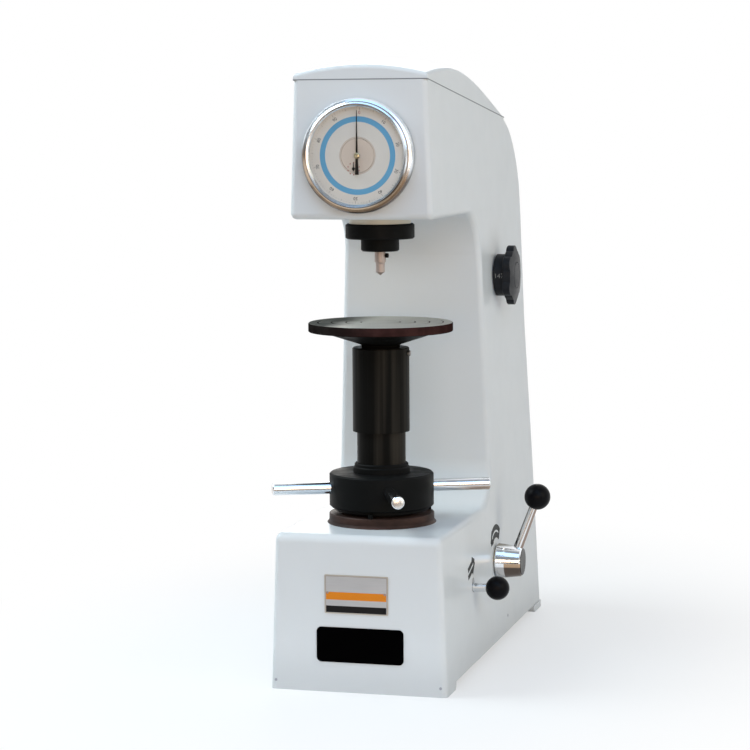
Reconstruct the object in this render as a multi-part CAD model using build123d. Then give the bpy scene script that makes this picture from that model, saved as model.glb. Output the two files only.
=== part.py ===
from build123d import *
from math import atan2, cos, degrees, hypot, radians, sin, sqrt
import os

# Bench hardness tester: a C-shaped casting carries a lever-and-deadweight load train above a screw jack.
# Millimetres. The origin is on the test axis at the height of the feet.
# +X is the operator's right, +Y runs from the operator to the column, +Z is up.

os.makedirs("parts", exist_ok=True)

# ---- casting ----
wall = 9.0
half_width_floor = 92.8            # half width of the casting at z = 0
side_draft = 0.0379                # half width lost for each mm of height


def half_width(z):
    return half_width_floor - side_draft * z


base_front = -97.0
base_top = 161.0
base_front_edge_r = 9.0
throat_depth = 140.0               # test axis to the column front face at column_low_z
column_low_z = 205.0
column_front_draft = 0.0355        # the column face leans towards the operator as it rises
head_bottom = 478.0
head_height = 140.0                # head bottom to the cover joint at the head front
head_front = -74.5
head_lower_edge_r = 7.0
throat_low_r = 46.0
throat_high_r = 48.0
column_depth = 214.5               # column front to its back, above the upper bend
base_tail = 27.5                   # the back face stands out this much further at the floor
back_bend = 17.0                   # and this much at the lower bend
back_knee_low_z = 176.0            # the two slow bends in the back face
back_knee_high_z = 345.0
back_knee_r = 400.0
back_arc_r = 104.0
back_y = throat_depth + column_depth
back_floor = back_y + base_tail
back_knee_low = (back_y + back_bend, back_knee_low_z)
back_knee_high = (back_y, back_knee_high_z)
back_arc_rise = 2.0                 # where the back's arc starts, above the head bottom
back_arc_start = (back_y, head_bottom + back_arc_rise)
seam_front_z = head_bottom + head_height
seam_slope = -0.1085               # the joint falls towards the back
side_edge_r = 6.0
cavity_over = 60.0                 # the cavity's cut runs this far above the cover joint
boss_rise = 3.0                    # the bosses inside the walls
selector_boss_r = 12.0
selector_bush_boss_r = 16.0
unload_boss_r = 16.0
unload_boss = 10.0
unload_bush_boss_r = 20.0
latch_boss_r = 9.0
latch_boss = 4.0
latch_pin_wall = 4.0               # metal left outside the latch pin's hole
foot_height = 8.0
front_foot_end = -56.0
rear_foot_length = 44.0
rear_foot_start = back_floor - rear_foot_length
foot_end_r = 6.0
rear_foot_flare = 1.0
rear_foot_heel_r = 4.0

# ---- top cover and rear cover ----
cover_wall = 4.0
cover_edge_r = 4.0
cover_tail = 75.5                  # cover's rear end to the back face
cover_rear = back_y - cover_tail
# station along Y, height of the side edge above the front of the joint, rise of the crown above it
cover_stations = [
    (head_front, 5.5, 8.8),
    (0.0, 11.5, 9.8),
    (throat_depth / 2, 9.5, 10.5),
    (throat_depth, -1.5, 9.5),
    (throat_depth + 70, -18.5, 6.5),
    (cover_rear, -37.0, 2.5),
]
rear_cover_thickness = 2.5
rear_cover_half_width = 48.0
rear_cover_low = 195.0
rear_cover_drop = 10.0             # its top edge below the head bottom
rear_cover_high = head_bottom - rear_cover_drop
rear_opening_margin = 9.0
cover_screw_r = 3.5
cover_screw_head = 1.6
cover_screw_slot = 0.7             # depth of the driver slot
cover_screw_inset = 8.0

# ---- fits ----
run_fit = 0.05                     # radial clearance of a shaft in its bore
slide_gap = 0.3                    # between faces that pass each other
seat_gap = 0.3                     # between a knife edge or cam and its seat
push_gap = 0.1                     # radial, between fixed pieces of one body

# ---- spindle, guard and indenter ----
spindle_r = 10.0
spindle_nose_r = 5.7
spindle_nose_reach = 11.2          # below the guard
housing_r = 14.0
housing_height = 42.0              # above the head bottom
collar_r = 32.0
collar_height = 6.5
guard_r = 35.7
guard_flange_height = 15.7
guard_hub_r = 19.8
guard_hub_height = 12.9
guard_lip_thickness = 4.1
guard_edge = 1.5
indenter_shank_r = 3.15
indenter_shank_length = 14.0
indenter_r = 4.6
indenter_length = 13.8             # nose to tip
indenter_taper = 2.0
indenter_cone = 3.5
indenter_tip_r = 0.4
indenter_screw_height = 6.7        # above the nose's end
housing_top_z = head_bottom + housing_height
collar_bottom_z = head_bottom - collar_height
guard_flange_bottom_z = collar_bottom_z - guard_flange_height
guard_bottom_z = guard_flange_bottom_z - guard_hub_height
guard_lip_top_z = guard_bottom_z + guard_lip_thickness
spindle_shoulder_z = guard_lip_top_z + 2
spindle_bottom_z = guard_bottom_z - spindle_nose_reach
indenter_tip_z = spindle_bottom_z - indenter_length
indenter_cone_z = indenter_tip_z + indenter_cone
indenter_screw_z = spindle_bottom_z + indenter_screw_height
indenter_screw_r = 2.0
indenter_screw_head_r = 2.4
indenter_screw_reach = 8.7

# ---- screw jack ----
table_r = 75.0
table_top_z = 369.4
table_thickness = 9.3
table_groove_radii = (20.5, 36.0, 51.0, 65.0)
table_groove_width = 1.4
table_groove_depth = 0.8
table_edge = 0.8
table_hub_r = 47.0
table_hub_drop = 9.0
table_neck_r = 20.0
table_spigot_r = 12.0
table_spigot_length = 26.0
screw_r = 19.0
screw_head_z = 343.5
screw_bottom_z = 66.0
keyway_width = 8.0
keyway_depth = 4.0
keyway_top_z = 300.0
outer_sleeve_r = 29.6
outer_sleeve_bore_r = 25.9
outer_sleeve_bottom_z = 256.2
outer_sleeve_cap = 12.0
inner_sleeve_r = 25.3
inner_sleeve_bore_r = 21.5
inner_sleeve_top_z = 303.5
sleeve_collar_r = 29.5
sleeve_collar_height = 6.5
sleeve_collar_lip_r = 28.0
sleeve_collar_lip = 3.5
sleeve_collar_edge = 1.0
sleeve_screw_r = 3.0
sleeve_screw_reach = 31.6

# ---- handwheel ----
wheel_r = 54.35
wheel_bottom_z = 177.6
wheel_top_z = 213.0
wheel_edge = 1.6
wheel_step_r = 49.0
wheel_step = 3.0
rod_r = 6.5
rod_tip_radius = 114.5
rod_root_radius = 30.0
rod_z = 197.6
rod_count = 4
rod_first_angle = 23.3
rod_tip_edge = 1.5
seat_ring_r = 56.9
seat_ring_lip = 1.5                # height of the flared lip at its foot
seat_ring_top_r = 54.8
seat_ring_height = 10.2
seat_ring_edge = 0.8
seat_screw_count = 3
seat_screw_first_angle = -88.0
seat_screw_pcd_r = 51.8
seat_screw_r = 2.4
seat_screw_head = 4.6
seat_screw_socket_r = 1.3
seat_screw_socket = 2.2
seat_ring_bore_r = 36.5
bearing_r = 36.0
bearing_bore_r = 21.0
bearing_race = 3.2
bearing_roller_count = 12
bearing_roller_length = 8.0
guide_r = 28.0
guide_flange_r = 36.0
guide_flange = 4.0
guide_bottom_z = 100.0
guide_key_inset = 10.0             # key to either end of the guide

# ---- dial gauge ----
dial_rise = 64.3                   # dial axis above the head bottom
dial_z = head_bottom + dial_rise
dial_opening_r = 52.0
dial_case_r = 51.5
dial_case_flange_r = 56.5
dial_case_flange = 3.5
dial_case_sink = 14.5              # inside the head front
dial_case_back_y = head_front + dial_case_sink
dial_case_wall = 2.0
bezel_r = 57.5
bezel_stand = 17.5                 # proud of the head front
bezel_front_y = head_front - bezel_stand
bezel_lip_r = 48.8
bezel_bore_r = 50.2
bezel_shoulder_r = 54.0
bezel_step = 4.5
bezel_shoulder_y = bezel_front_y + bezel_step
dial_face_r = 50.0
dial_face_stand = 10.1
dial_face_front_y = head_front - dial_face_stand
dial_face_thickness = 1.2
dial_centre_r = 17.0
dial_glass_sink = 2.2              # behind the bezel's front
dial_glass_front_y = bezel_front_y + dial_glass_sink
dial_glass_thickness = 1.6
pointer_gap = 2.8                  # front of the long pointer to the dial face
pointer_front_y = dial_face_front_y - pointer_gap
pointer_thickness = 0.6
pointer_length = 45.0
pointer_tail = 19.0
pointer_hub_r = 3.0
pointer_arbor_r = 1.2
small_pointer_offset = (-4.0, -13.0)
small_pointer_length = 6.5
small_pointer_gap = 1.3
small_pointer_front_y = dial_face_front_y - small_pointer_gap
movement_r = 32.0
movement_depth = 15.0

# ---- main lever ----
lever_rise = 66.0                  # fulcrum and load knife edges above the head bottom
lever_z = head_bottom + lever_rise
fulcrum_arm = 25.0                 # fulcrum edge to the test axis
fulcrum_y = -fulcrum_arm
unload_behind = 12.0               # unloading shaft behind the column front
lifter_behind = 8.0                # lifting rod behind the unloading shaft
lifter_r = 5.0
piston_rod_r = 5.0
weight_side_inset = 40.8           # rim of the weights to the casting's flank at the floor
weight_front_gap = 8.0             # lifting rod to the weights
weight_rear_gap = 3.0              # weights to the dashpot's piston rod
weight_r = half_width_floor - weight_side_inset
load_reach = unload_behind + lifter_behind + lifter_r + weight_front_gap + weight_r
damper_reach = weight_r + weight_rear_gap + piston_rod_r
load_y = throat_depth + load_reach
damper_y = load_y + damper_reach
lever_half_width = 8.0
lever_half_height = 12.0
lever_tail_half_height = 6.0
lever_over = 10.0                  # lever beyond its first and last bearings
lever_front_y = fulcrum_y - lever_over
lever_taper_y = 40.0               # the lever tapers from here to its tail
lever_rear_y = damper_y + lever_over
lever_hole_r = 6.0
lever_holes = (70.0, 115.0, 185.0)
knife_width = 8.0
knife_height = 10.0
knife_half_length = 26.0
spindle_knife_drop = 15.0          # spindle edge below the other two edges
block_gap = 16.0                   # inner faces of fulcrum blocks and of stirrup plates, from x = 0
block_thickness = 7.0
block_half_width = 14.0
block_top_over = 12.0
block_foot = 8.0
block_foot_reach = 12.0
seat_window_half = 7.0
seat_slope = 4.0                   # fall of the V seat across half its window
tail_pin_r = 3.0
tail_slot = 7.0
tail_eye_half = 7.0

# ---- hanger, weights and weight yoke ----
hanger_rod_r = 8.0
hanger_drop = 38.0
hanger_bridge_z = lever_z - hanger_drop
hanger_bridge = 8.0
hanger_flange_r = 20.0
hanger_flange_z = 226.0
hanger_flange = 6.0
weight_heights = (30.0, 26.0, 22.0)
weight_edge = 1.5
yoke_ring_inset = 6.0              # inside the rim of the weights
yoke_ring_r = weight_r - yoke_ring_inset
yoke_ring_bore_r = 24.0
yoke_ring_z = 214.5
yoke_ring = 8.0
yoke_rod_inset = 8.3               # rod axis to the side wall beside the selector
yoke_rod_behind = 8.0
yoke_rod_y = load_y + yoke_rod_behind
yoke_rod_r = 4.0
yoke_bar_half = 6.0
yoke_bar_over = 5.0
yoke_pad = 8.0

# ---- load selector ----
selector_ahead = 17.0              # selector shaft ahead of the load edge
selector_y = load_y - selector_ahead
selector_z = 406.0
selector_wall_x = half_width(selector_z)
yoke_rod_x = selector_wall_x - wall - yoke_rod_inset
selector_shaft_r = 6.0
selector_bush_r = 10.0
knob_gap = 1.2                     # hub to the wall
knob_hub_r = 23.1
knob_hub_length = 11.3
knob_rim_length = 8.2              # flange at its rim, without the dome
knob_dome = 3.0
knob_back_edge = 1.0
knob_inner_x = selector_wall_x + knob_gap
knob_flange_x = knob_inner_x + knob_hub_length
knob_lobe_count = 6
knob_lobe_r = 10.0
knob_lobe_pcd_r = 22.7
knob_web_r = 28.5
knob_bore = 16.0
knob_cap_r = 14.0
knob_cap_groove = 0.8
cam_inset = 6.0                    # cam centre inside the yoke rod
cam_x = yoke_rod_x - cam_inset
cam_half = 4.0
cam_r = 12.0
cam_offset = 5.0
cam_angle = -60.0
cam_gap = 0.7

# ---- unloading lever ----
unload_y = throat_depth + unload_behind
unload_z = 95.5
unload_wall_x = half_width(unload_z)
unload_shaft_r = 9.0
unload_bush_r = 14.0
unload_hub_gap = 1.4               # hub to the wall
unload_hub_length = 28.4
unload_hub_x = unload_wall_x + unload_hub_gap
unload_hub_end_x = unload_hub_x + unload_hub_length
unload_hub_r = 19.3
unload_hub_end_r = 16.2
unload_hub_edge = 2.0
unload_rod_root = 17.1             # hub's inner face to the rod's axis
unload_rod_lean = (26.4, 4.0, 71.7)    # from there to the ball's centre
unload_rod_root_x = unload_hub_x + unload_rod_root
unload_ball_at = (unload_rod_root_x + unload_rod_lean[0], unload_y + unload_rod_lean[1],
                  unload_z + unload_rod_lean[2])
unload_set_screw_r = 2.2
unload_set_screw_depth = 1.5
unload_set_screw_x = unload_hub_x + 9.5
unload_set_screw_angle = 130.0     # from the rear, over the top
unload_ball_r = 14.2
unload_rod_r = 5.4
unload_rod_tip_r = 4.4
eccentric_r = 20.0
eccentric_offset = 8.0
eccentric_angle = 145.0
eccentric_half = 7.0
eccentric_hub_r = 14.0
eccentric_hub = 8.0
latch_disc_r = 24.0
latch_thickness = 8.0

# ---- loading lever ----
load_rod_y = 36.0
load_rod_z = 88.0
load_rod_r = 4.7
load_rod_reach = 26.1              # wall to the ball's centre
load_ball_r = 12.6
load_ball_x = half_width(load_rod_z) + load_rod_reach
latch_arm = 34.0                   # rod to the pivot behind it
latch_pivot_drop = 4.0
latch_pivot_y = load_rod_y + latch_arm
latch_pivot_z = load_rod_z - latch_pivot_drop
latch_wall_x = half_width(latch_pivot_z) - wall
latch_wall_gap = 9.0               # latch to the wall, room for the boss
latch_x = latch_wall_x - latch_wall_gap - latch_thickness
latch_pin_r = 5.0
latch_swing = 8.0
latch_slot_gap = 0.8
latch_nose_gap = 0.8
latch_nose_angle = 20.0            # nose below the shaft's height, seen from the disc's centre
latch_hub_r = 13.0
latch_rod_end_r = 9.0
latch_nose_r = 4.0

# ---- lifting rod and dashpot ----
lifter_y = unload_y + lifter_behind
lifter_foot = 7.0
lifter_foot_front = 18.0
lifter_foot_rear = 16.0
lifter_pad_r = 8.0
lifter_pad = 5.0
guide_block_z = 410.0
guide_block_half = 12.0
guide_block_half_width = 14.0
guide_block_front = 12.0           # its front to the lifting rod's axis
guide_block_front_y = lifter_y - guide_block_front
dashpot_r = 26.0
dashpot_bore_r = 22.0
dashpot_bottom_z = 24.0
dashpot_top_z = 120.0
dashpot_floor = 6.0
dashpot_lid = 6.0
dashpot_pad_inset = 9.5
dashpot_pad_y = back_y - dashpot_pad_inset
dashpot_pad_half = 22.0
dashpot_pad_z = (45.0, 105.0)
dashpot_arm_half = 16.0
dashpot_arm_z = (50.0, 100.0)
piston_r = 21.7
piston_z = 62.0
piston_height = 12.0

# ---- plates ----
data_plate_size = (66.5, 39.5)
data_plate_at = (-1.1, 101.0)
badge_size = (91.0, 36.0)
badge_at = (2.4, 49.0)
badge_corner_r = 5.0
plate_thickness = 0.8

centred_bottom = (Align.CENTER, Align.CENTER, Align.MIN)


def save(shape, node):
    export_step(shape, f"parts/{node}.step")


def rod_z_axis(radius, z_low, z_high, x=0.0, y=0.0):
    """Cylinder along Z."""
    return Pos(x, y, z_low) * Cylinder(radius, z_high - z_low, align=centred_bottom)


def rod_x_axis(radius, x_low, x_high, y, z):
    """Cylinder along X."""
    return Pos(x_low, y, z) * Rot(0, 90, 0) * Cylinder(radius, x_high - x_low, align=centred_bottom)


def rod_y_axis(radius, y_low, y_high, x, z):
    """Cylinder along Y."""
    return Pos(x, y_low, z) * Rot(-90, 0, 0) * Cylinder(radius, y_high - y_low, align=centred_bottom)


def block(x_low, x_high, y_low, y_high, z_low, z_high):
    """Box between two corners."""
    size = (x_high - x_low, y_high - y_low, z_high - z_low)
    return Pos(x_low, y_low, z_low) * Box(*size, align=(Align.MIN, Align.MIN, Align.MIN))


def turned(points):
    """Solid of revolution about Z from (radius, z) points."""
    return revolve(Plane.XZ * make_face(Polyline(*points, close=True)), Axis.Z)


def turned_about_dial(points):
    """Solid of revolution about the dial axis from (radius, y) points."""
    outline = make_face(Polyline(*[(r, y, 0) for r, y in points], close=True))
    return Pos(0, 0, dial_z) * revolve(outline, Axis.Y)


def side_plate(points, x_low, x_high):
    """Plate across X from (y, z) points."""
    outline = Plane.YZ * make_face(Polyline(*points, close=True))
    return Pos(x_low, 0, 0) * extrude(outline, x_high - x_low)


def seam_z(y):
    return seam_front_z + seam_slope * (y - head_front)


def column_front(z):
    return throat_depth - column_front_draft * (z - column_low_z)


def round_corners(sketch, corners):
    """Round the sketch corners nearest to the given (y, z, radius) entries."""
    for y, z, radius in corners:
        corner = sketch.vertices().sort_by_distance(Vector(0, y, z))[0]
        sketch = fillet(corner, radius)
    return sketch


def back_arc_end():
    """Where the round shoulder of the back meets the seam line."""
    centre_y = back_arc_start[0] - back_arc_r
    rise = seam_z(centre_y) - back_arc_start[1]
    spread = 1 + seam_slope ** 2
    reach = (sqrt(spread * back_arc_r ** 2 - rise ** 2) - seam_slope * rise) / spread
    return centre_y + reach, seam_z(centre_y + reach)


def casting_profile(inset, z_low, lift):
    """Side outline of the casting, moved inwards by inset; its top edge is lifted above the seam."""
    z_base = base_top - inset
    z_head = head_bottom + inset
    y_end, z_end = back_arc_end()
    arc_middle = radians(35.0)
    centre = (back_arc_start[0] - back_arc_r, back_arc_start[1])
    inner_r = back_arc_r - inset
    shoulder = (centre[0] + inner_r * cos(arc_middle), centre[1] + inner_r * sin(arc_middle))
    end_angle = atan2(z_end - centre[1], y_end - centre[0])
    end = (centre[0] + inner_r * cos(end_angle), centre[1] + inner_r * sin(end_angle))
    front = [
        end,
        (end[0], end[1] + lift),
        (head_front + inset, seam_z(head_front) + lift),
        (head_front + inset, z_head),
        (column_front(z_head) + inset, z_head),
        (column_front(z_base) + inset, z_base),
        (base_front + inset, z_base),
        (base_front + inset, z_low),
        (back_floor - inset, z_low),
        (back_knee_low[0] - inset, back_knee_low[1]),
        (back_knee_high[0] - inset, back_knee_high[1]),
        (back_arc_start[0] - inset, back_arc_start[1]),
    ]
    points = [p for i, p in enumerate(front) if i == 0 or p != front[i - 1]]
    outline = Polyline(*points) + ThreePointArc(points[-1], shoulder, points[0])
    face = Plane.YZ * make_face(outline)
    corners = [
        (column_front(z_base) + inset, z_base, throat_low_r + inset),
        (column_front(z_head) + inset, z_head, throat_high_r + inset),
        (back_knee_low[0] - inset, back_knee_low[1], back_knee_r),
        (back_knee_high[0] - inset, back_knee_high[1], back_knee_r),
    ]
    if inset <= 0:
        corners.append((base_front + inset, z_base, base_front_edge_r))
        corners.append((head_front + inset, z_head, head_lower_edge_r))
    return round_corners(face, corners)


def drafted(profile, inset, z_low):
    """Extrude a side profile across X and cut its flanks to the casting's draft."""
    z_high = seam_front_z + 2 * wall
    slab = extrude(profile, half_width_floor + 5, both=True)
    flank = [
        (-half_width(z_low) + inset, z_low),
        (half_width(z_low) - inset, z_low),
        (half_width(z_high) - inset, z_high),
        (-half_width(z_high) + inset, z_high),
    ]
    front_view = Plane.XZ * make_face(Polyline(*flank, close=True))
    wedge = extrude(front_view, back_floor + wall, both=True)
    return slab & wedge


def round_flanks(solid):
    """Round every flank edge but the feet and the seam."""
    flanks = solid.faces().filter_by(lambda f: abs(f.normal_at().X) > 0.95)
    edges = flanks.edges().filter_by(
        lambda e: (e @ 0.5).Z > 1 and (e @ 0.5).Z < seam_z((e @ 0.5).Y) - 0.5)
    return fillet(edges, side_edge_r)


def foot_cut():
    """Relief between the front and rear feet; the inner ends of the feet are rounded below."""
    r = foot_end_r
    bend = r * (1 - sqrt(0.5))
    low = -1.0
    outline = Polyline((front_foot_end, r), (front_foot_end, foot_height),
                       (rear_foot_start, foot_height), (rear_foot_start, r))
    outline += ThreePointArc((rear_foot_start, r), (rear_foot_start + bend, bend), (rear_foot_start + r, 0))
    outline += Polyline((rear_foot_start + r, 0), (rear_foot_start + r, low),
                        (front_foot_end - r, low), (front_foot_end - r, 0))
    outline += ThreePointArc((front_foot_end - r, 0), (front_foot_end - bend, bend), (front_foot_end, r))
    return extrude(Plane.YZ * make_face(outline), half_width_floor + 5, both=True)


def rear_foot():
    """Flared strip round the rear end of the base, its heel rounded."""
    half = half_width_floor + rear_foot_flare
    rear = back_floor + rear_foot_flare
    outer = block(-half, half, rear_foot_start, rear, 0, foot_height)
    corners = outer.edges().filter_by(Axis.Z).filter_by(lambda e: (e @ 0.5).Y > rear - 1)
    outer = fillet(corners, side_edge_r)
    inner_half = half_width_floor - wall
    inner_rear = back_floor - wall
    strip = outer - block(-inner_half, inner_half, rear_foot_start - 1, inner_rear, -1, foot_height + 1)
    r = rear_foot_heel_r
    bend = r * (1 - sqrt(0.5))
    heel = ThreePointArc((rear - r, 0), (rear - bend, bend), (rear, r))
    heel += Polyline((rear, r), (rear + 1, r), (rear + 1, -1), (rear - r, -1), (rear - r, 0))
    return strip - extrude(Plane.YZ * make_face(heel), half + 1, both=True)


def latch_slot():
    """Arc slot in the right wall for the loading lever's rod."""
    reach_y = load_rod_y - latch_pivot_y
    reach_z = load_rod_z - latch_pivot_z
    reach = hypot(reach_y, reach_z)
    rest_angle = degrees(atan2(reach_z, reach_y))
    path = CenterArc((latch_pivot_y, latch_pivot_z), reach, rest_angle - latch_swing, latch_swing)
    slot = Plane.YZ * SlotArc(path, 2 * (load_rod_r + latch_slot_gap))
    return Pos(half_width_floor - 3 * wall, 0, 0) * extrude(slot, 4 * wall)


def frame_casting():
    outer = round_flanks(drafted(casting_profile(0, 0, 0), 0, 0))
    cavity = drafted(casting_profile(wall, -1, cavity_over), wall, -1)
    body = outer - cavity
    body += rear_foot()
    body -= foot_cut()
    body -= rod_z_axis(housing_r + push_gap, head_bottom - 5, head_bottom + wall + 5)
    body -= rod_z_axis(guide_r + push_gap, base_top - wall - 5, base_top + 5)
    body -= rod_y_axis(dial_opening_r, head_front - 5, head_front + wall + 5, 0, dial_z)
    body -= rear_opening()
    # bosses and pads that carry the load train
    selector_x = selector_wall_x - wall
    unload_x = unload_wall_x - wall
    root = wall / 4
    body += rod_x_axis(selector_boss_r, -selector_x - root, boss_rise - selector_x, selector_y, selector_z)
    body += rod_x_axis(unload_boss_r, -unload_x - root, unload_boss - unload_x, unload_y, unload_z)
    boss_x = selector_x - boss_rise
    body += rod_x_axis(selector_bush_boss_r, boss_x, selector_x + root, selector_y, selector_z)
    body += rod_x_axis(unload_bush_boss_r, unload_x - boss_rise, unload_x + root, unload_y, unload_z)
    boss_x = latch_wall_x - latch_boss
    body += rod_x_axis(latch_boss_r, boss_x, latch_wall_x + root, latch_pivot_y, latch_pivot_z)
    guide_z_low = guide_block_z - guide_block_half
    guide_z_high = guide_block_z + guide_block_half
    body += block(-guide_block_half_width, guide_block_half_width, column_front(guide_z_low) + wall / 2,
                  guide_block_front_y, guide_z_low, guide_z_high)
    body += block(-dashpot_pad_half, dashpot_pad_half, dashpot_pad_y, back_floor - wall - 3, *dashpot_pad_z)
    body -= rod_x_axis(selector_shaft_r + run_fit, -selector_x - 1, 0, selector_y, selector_z)
    body -= rod_x_axis(unload_shaft_r + run_fit, -unload_x - 1, 0, unload_y, unload_z)
    body -= rod_x_axis(selector_bush_r + push_gap, 0, half_width_floor, selector_y, selector_z)
    body -= rod_x_axis(unload_bush_r + push_gap, 0, half_width_floor, unload_y, unload_z)
    body -= rod_x_axis(latch_pin_r + push_gap, 0, half_width(latch_pivot_z) - latch_pin_wall,
                       latch_pivot_y, latch_pivot_z)
    body -= latch_slot()
    return body


def rear_opening():
    half = rear_cover_half_width - rear_opening_margin
    z_low = rear_cover_low + rear_opening_margin
    z_high = rear_cover_high - rear_opening_margin
    return block(-half, half, back_arc_start[0] - 3 * wall, back_floor + 5, z_low, z_high)


def rear_cover():
    """Plate that follows the back of the column."""
    outer = extrude(casting_profile(-rear_cover_thickness, 0, 0), rear_cover_half_width, both=True)
    inner = extrude(casting_profile(0, 0, 0), rear_cover_half_width + 1, both=True)
    window = block(-rear_cover_half_width, rear_cover_half_width, back_y - 3 * wall, back_floor + wall,
                   rear_cover_low, rear_cover_high)
    return (outer & window) - inner


def back_face(z):
    """Y of the back face, between the two slow bends and above them."""
    low, high = (back_knee_low, back_knee_high) if z < back_knee_high[1] else (back_knee_high, back_arc_start)
    return low[0] + (high[0] - low[0]) * (z - low[1]) / (high[1] - low[1])


def rear_cover_screws():
    heads = []
    for z, low, high in (
        (rear_cover_low + cover_screw_inset, back_knee_low, back_knee_high),
        (rear_cover_high - cover_screw_inset, back_knee_high, back_arc_start),
    ):
        lean = degrees(atan2(low[0] - high[0], high[1] - low[1]))
        for side in (-1, 1):
            x = side * (rear_cover_half_width - cover_screw_inset)
            head = Cylinder(cover_screw_r, cover_screw_head, align=centred_bottom)
            head -= Pos(0, 0, cover_screw_head - cover_screw_slot) * Box(
                2 * cover_screw_r, 1.0, 2, align=centred_bottom)
            heads.append(Pos(x, back_face(z) + rear_cover_thickness, z) * Rot(-90 + lean, 0, 0) * head)
    return Compound(children=heads)


def cover_section(y, rise, crown, inset):
    z_low = seam_z(y) - 3 * cover_wall
    z_side = seam_front_z + rise
    section = Plane(origin=(0, y, 0), x_dir=(1, 0, 0), z_dir=(0, -1, 0))
    low = half_width(z_low) - inset
    high = half_width(z_side) - inset
    sides = Polyline((-high, z_side - inset), (-low, z_low), (low, z_low), (high, z_side - inset))
    top = ThreePointArc((-high, z_side - inset), (0, z_side + crown - inset), (high, z_side - inset))
    return section * make_face(sides + top)


def seam_wedge():
    """Everything below the seam plane."""
    y_low = 2 * head_front
    points = [
        (y_low, seam_z(y_low)),
        (back_floor, seam_z(back_floor)),
        (back_floor, head_bottom),
        (y_low, head_bottom),
    ]
    return side_plate(points, -half_width_floor, half_width_floor)


def top_cover():
    shell = loft([cover_section(y, rise, crown, 0) for y, rise, crown in cover_stations])
    top_edges = shell.edges().filter_by(lambda e: (e @ 0.5).Z > seam_z((e @ 0.5).Y) + 3)
    rim = top_edges.filter_by(lambda e: (e @ 0.5).Y < cover_rear - 1)
    shell = fillet(rim, cover_edge_r)
    stations = list(cover_stations)
    inner_stations = [(stations[0][0] + cover_wall, stations[0][1], stations[0][2])]
    inner_stations += stations[1:-1]
    inner_stations.append((cover_rear - cover_wall, stations[-1][1] + 1, stations[-1][2]))
    hollow = loft([cover_section(y, rise, crown, cover_wall) for y, rise, crown in inner_stations])
    return shell - hollow - seam_wedge()


# ---- spindle group ----
def spindle_housing():
    points = [
        (spindle_r + run_fit, collar_bottom_z),
        (collar_r, collar_bottom_z),
        (collar_r, head_bottom),
        (housing_r, head_bottom),
        (housing_r, housing_top_z),
        (spindle_r + run_fit, housing_top_z),
    ]
    return turned(points)


def guard_flange():
    bore = spindle_r + slide_gap
    lip = spindle_nose_r + slide_gap
    points = [
        (lip, guard_bottom_z),
        (guard_hub_r - guard_edge, guard_bottom_z),
        (guard_hub_r, guard_bottom_z + guard_edge),
        (guard_hub_r, guard_flange_bottom_z),
        (guard_r - guard_edge, guard_flange_bottom_z),
        (guard_r, guard_flange_bottom_z + guard_edge),
        (guard_r, collar_bottom_z - guard_edge),
        (guard_r - guard_edge, collar_bottom_z),
        (bore, collar_bottom_z),
        (bore, guard_lip_top_z),
        (lip, guard_lip_top_z),
    ]
    return turned(points)


def spindle():
    top_z = lever_z - spindle_knife_drop - seat_gap
    body = rod_z_axis(spindle_r, spindle_shoulder_z, top_z)
    body += rod_z_axis(spindle_nose_r, spindle_bottom_z, spindle_shoulder_z)
    body -= rod_z_axis(indenter_shank_r + run_fit, spindle_bottom_z, spindle_bottom_z + indenter_shank_length)
    body -= rod_x_axis(indenter_screw_r + run_fit, 0, spindle_r, 0, indenter_screw_z)
    return body


def indenter():
    points = [
        (0, indenter_tip_z),
        (indenter_tip_r, indenter_tip_z + 0.1),
        (indenter_r, indenter_cone_z),
        (indenter_r, spindle_bottom_z - indenter_taper),
        (indenter_r + 0.6, spindle_bottom_z),
        (indenter_shank_r, spindle_bottom_z),
        (indenter_shank_r, spindle_bottom_z + indenter_shank_length - 0.5),
        (0, spindle_bottom_z + indenter_shank_length - 0.5),
    ]
    return turned(points)


def indenter_screw():
    body = rod_x_axis(indenter_screw_r, indenter_shank_r, spindle_nose_r, 0, indenter_screw_z)
    body += rod_x_axis(indenter_screw_head_r, spindle_nose_r, indenter_screw_reach, 0, indenter_screw_z)
    return body


# ---- screw jack ----
def anvil_table():
    bottom = table_top_z - table_thickness
    neck_top = bottom - table_hub_drop
    points = [
        (0, table_top_z),
        (table_r - table_edge, table_top_z),
        (table_r, table_top_z - table_edge),
        (table_r, bottom + table_edge),
        (table_r - table_edge, bottom),
        (table_hub_r, bottom),
        (table_neck_r, neck_top),
        (table_neck_r, screw_head_z),
        (table_spigot_r, screw_head_z),
        (table_spigot_r, screw_head_z - table_spigot_length),
        (0, screw_head_z - table_spigot_length),
    ]
    body = turned(points)
    for radius in table_groove_radii:
        ring = Pos(0, 0, table_top_z) * Cylinder(radius + table_groove_width / 2, 2 * table_groove_depth)
        ring -= Pos(0, 0, table_top_z) * Cylinder(radius - table_groove_width / 2, 4 * table_groove_depth)
        body -= ring
    return body


def lead_screw():
    body = rod_z_axis(screw_r, screw_bottom_z, screw_head_z)
    body -= rod_z_axis(table_spigot_r + push_gap, screw_head_z - table_spigot_length, screw_head_z)
    body -= block(-keyway_width / 2, keyway_width / 2, screw_r - keyway_depth, screw_r + 5,
                  screw_bottom_z - 1, keyway_top_z)
    cap_z = screw_head_z - outer_sleeve_cap / 2
    body -= rod_x_axis(sleeve_screw_r + push_gap, screw_r - 2, screw_r + 5, 0, cap_z)
    return body


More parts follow.
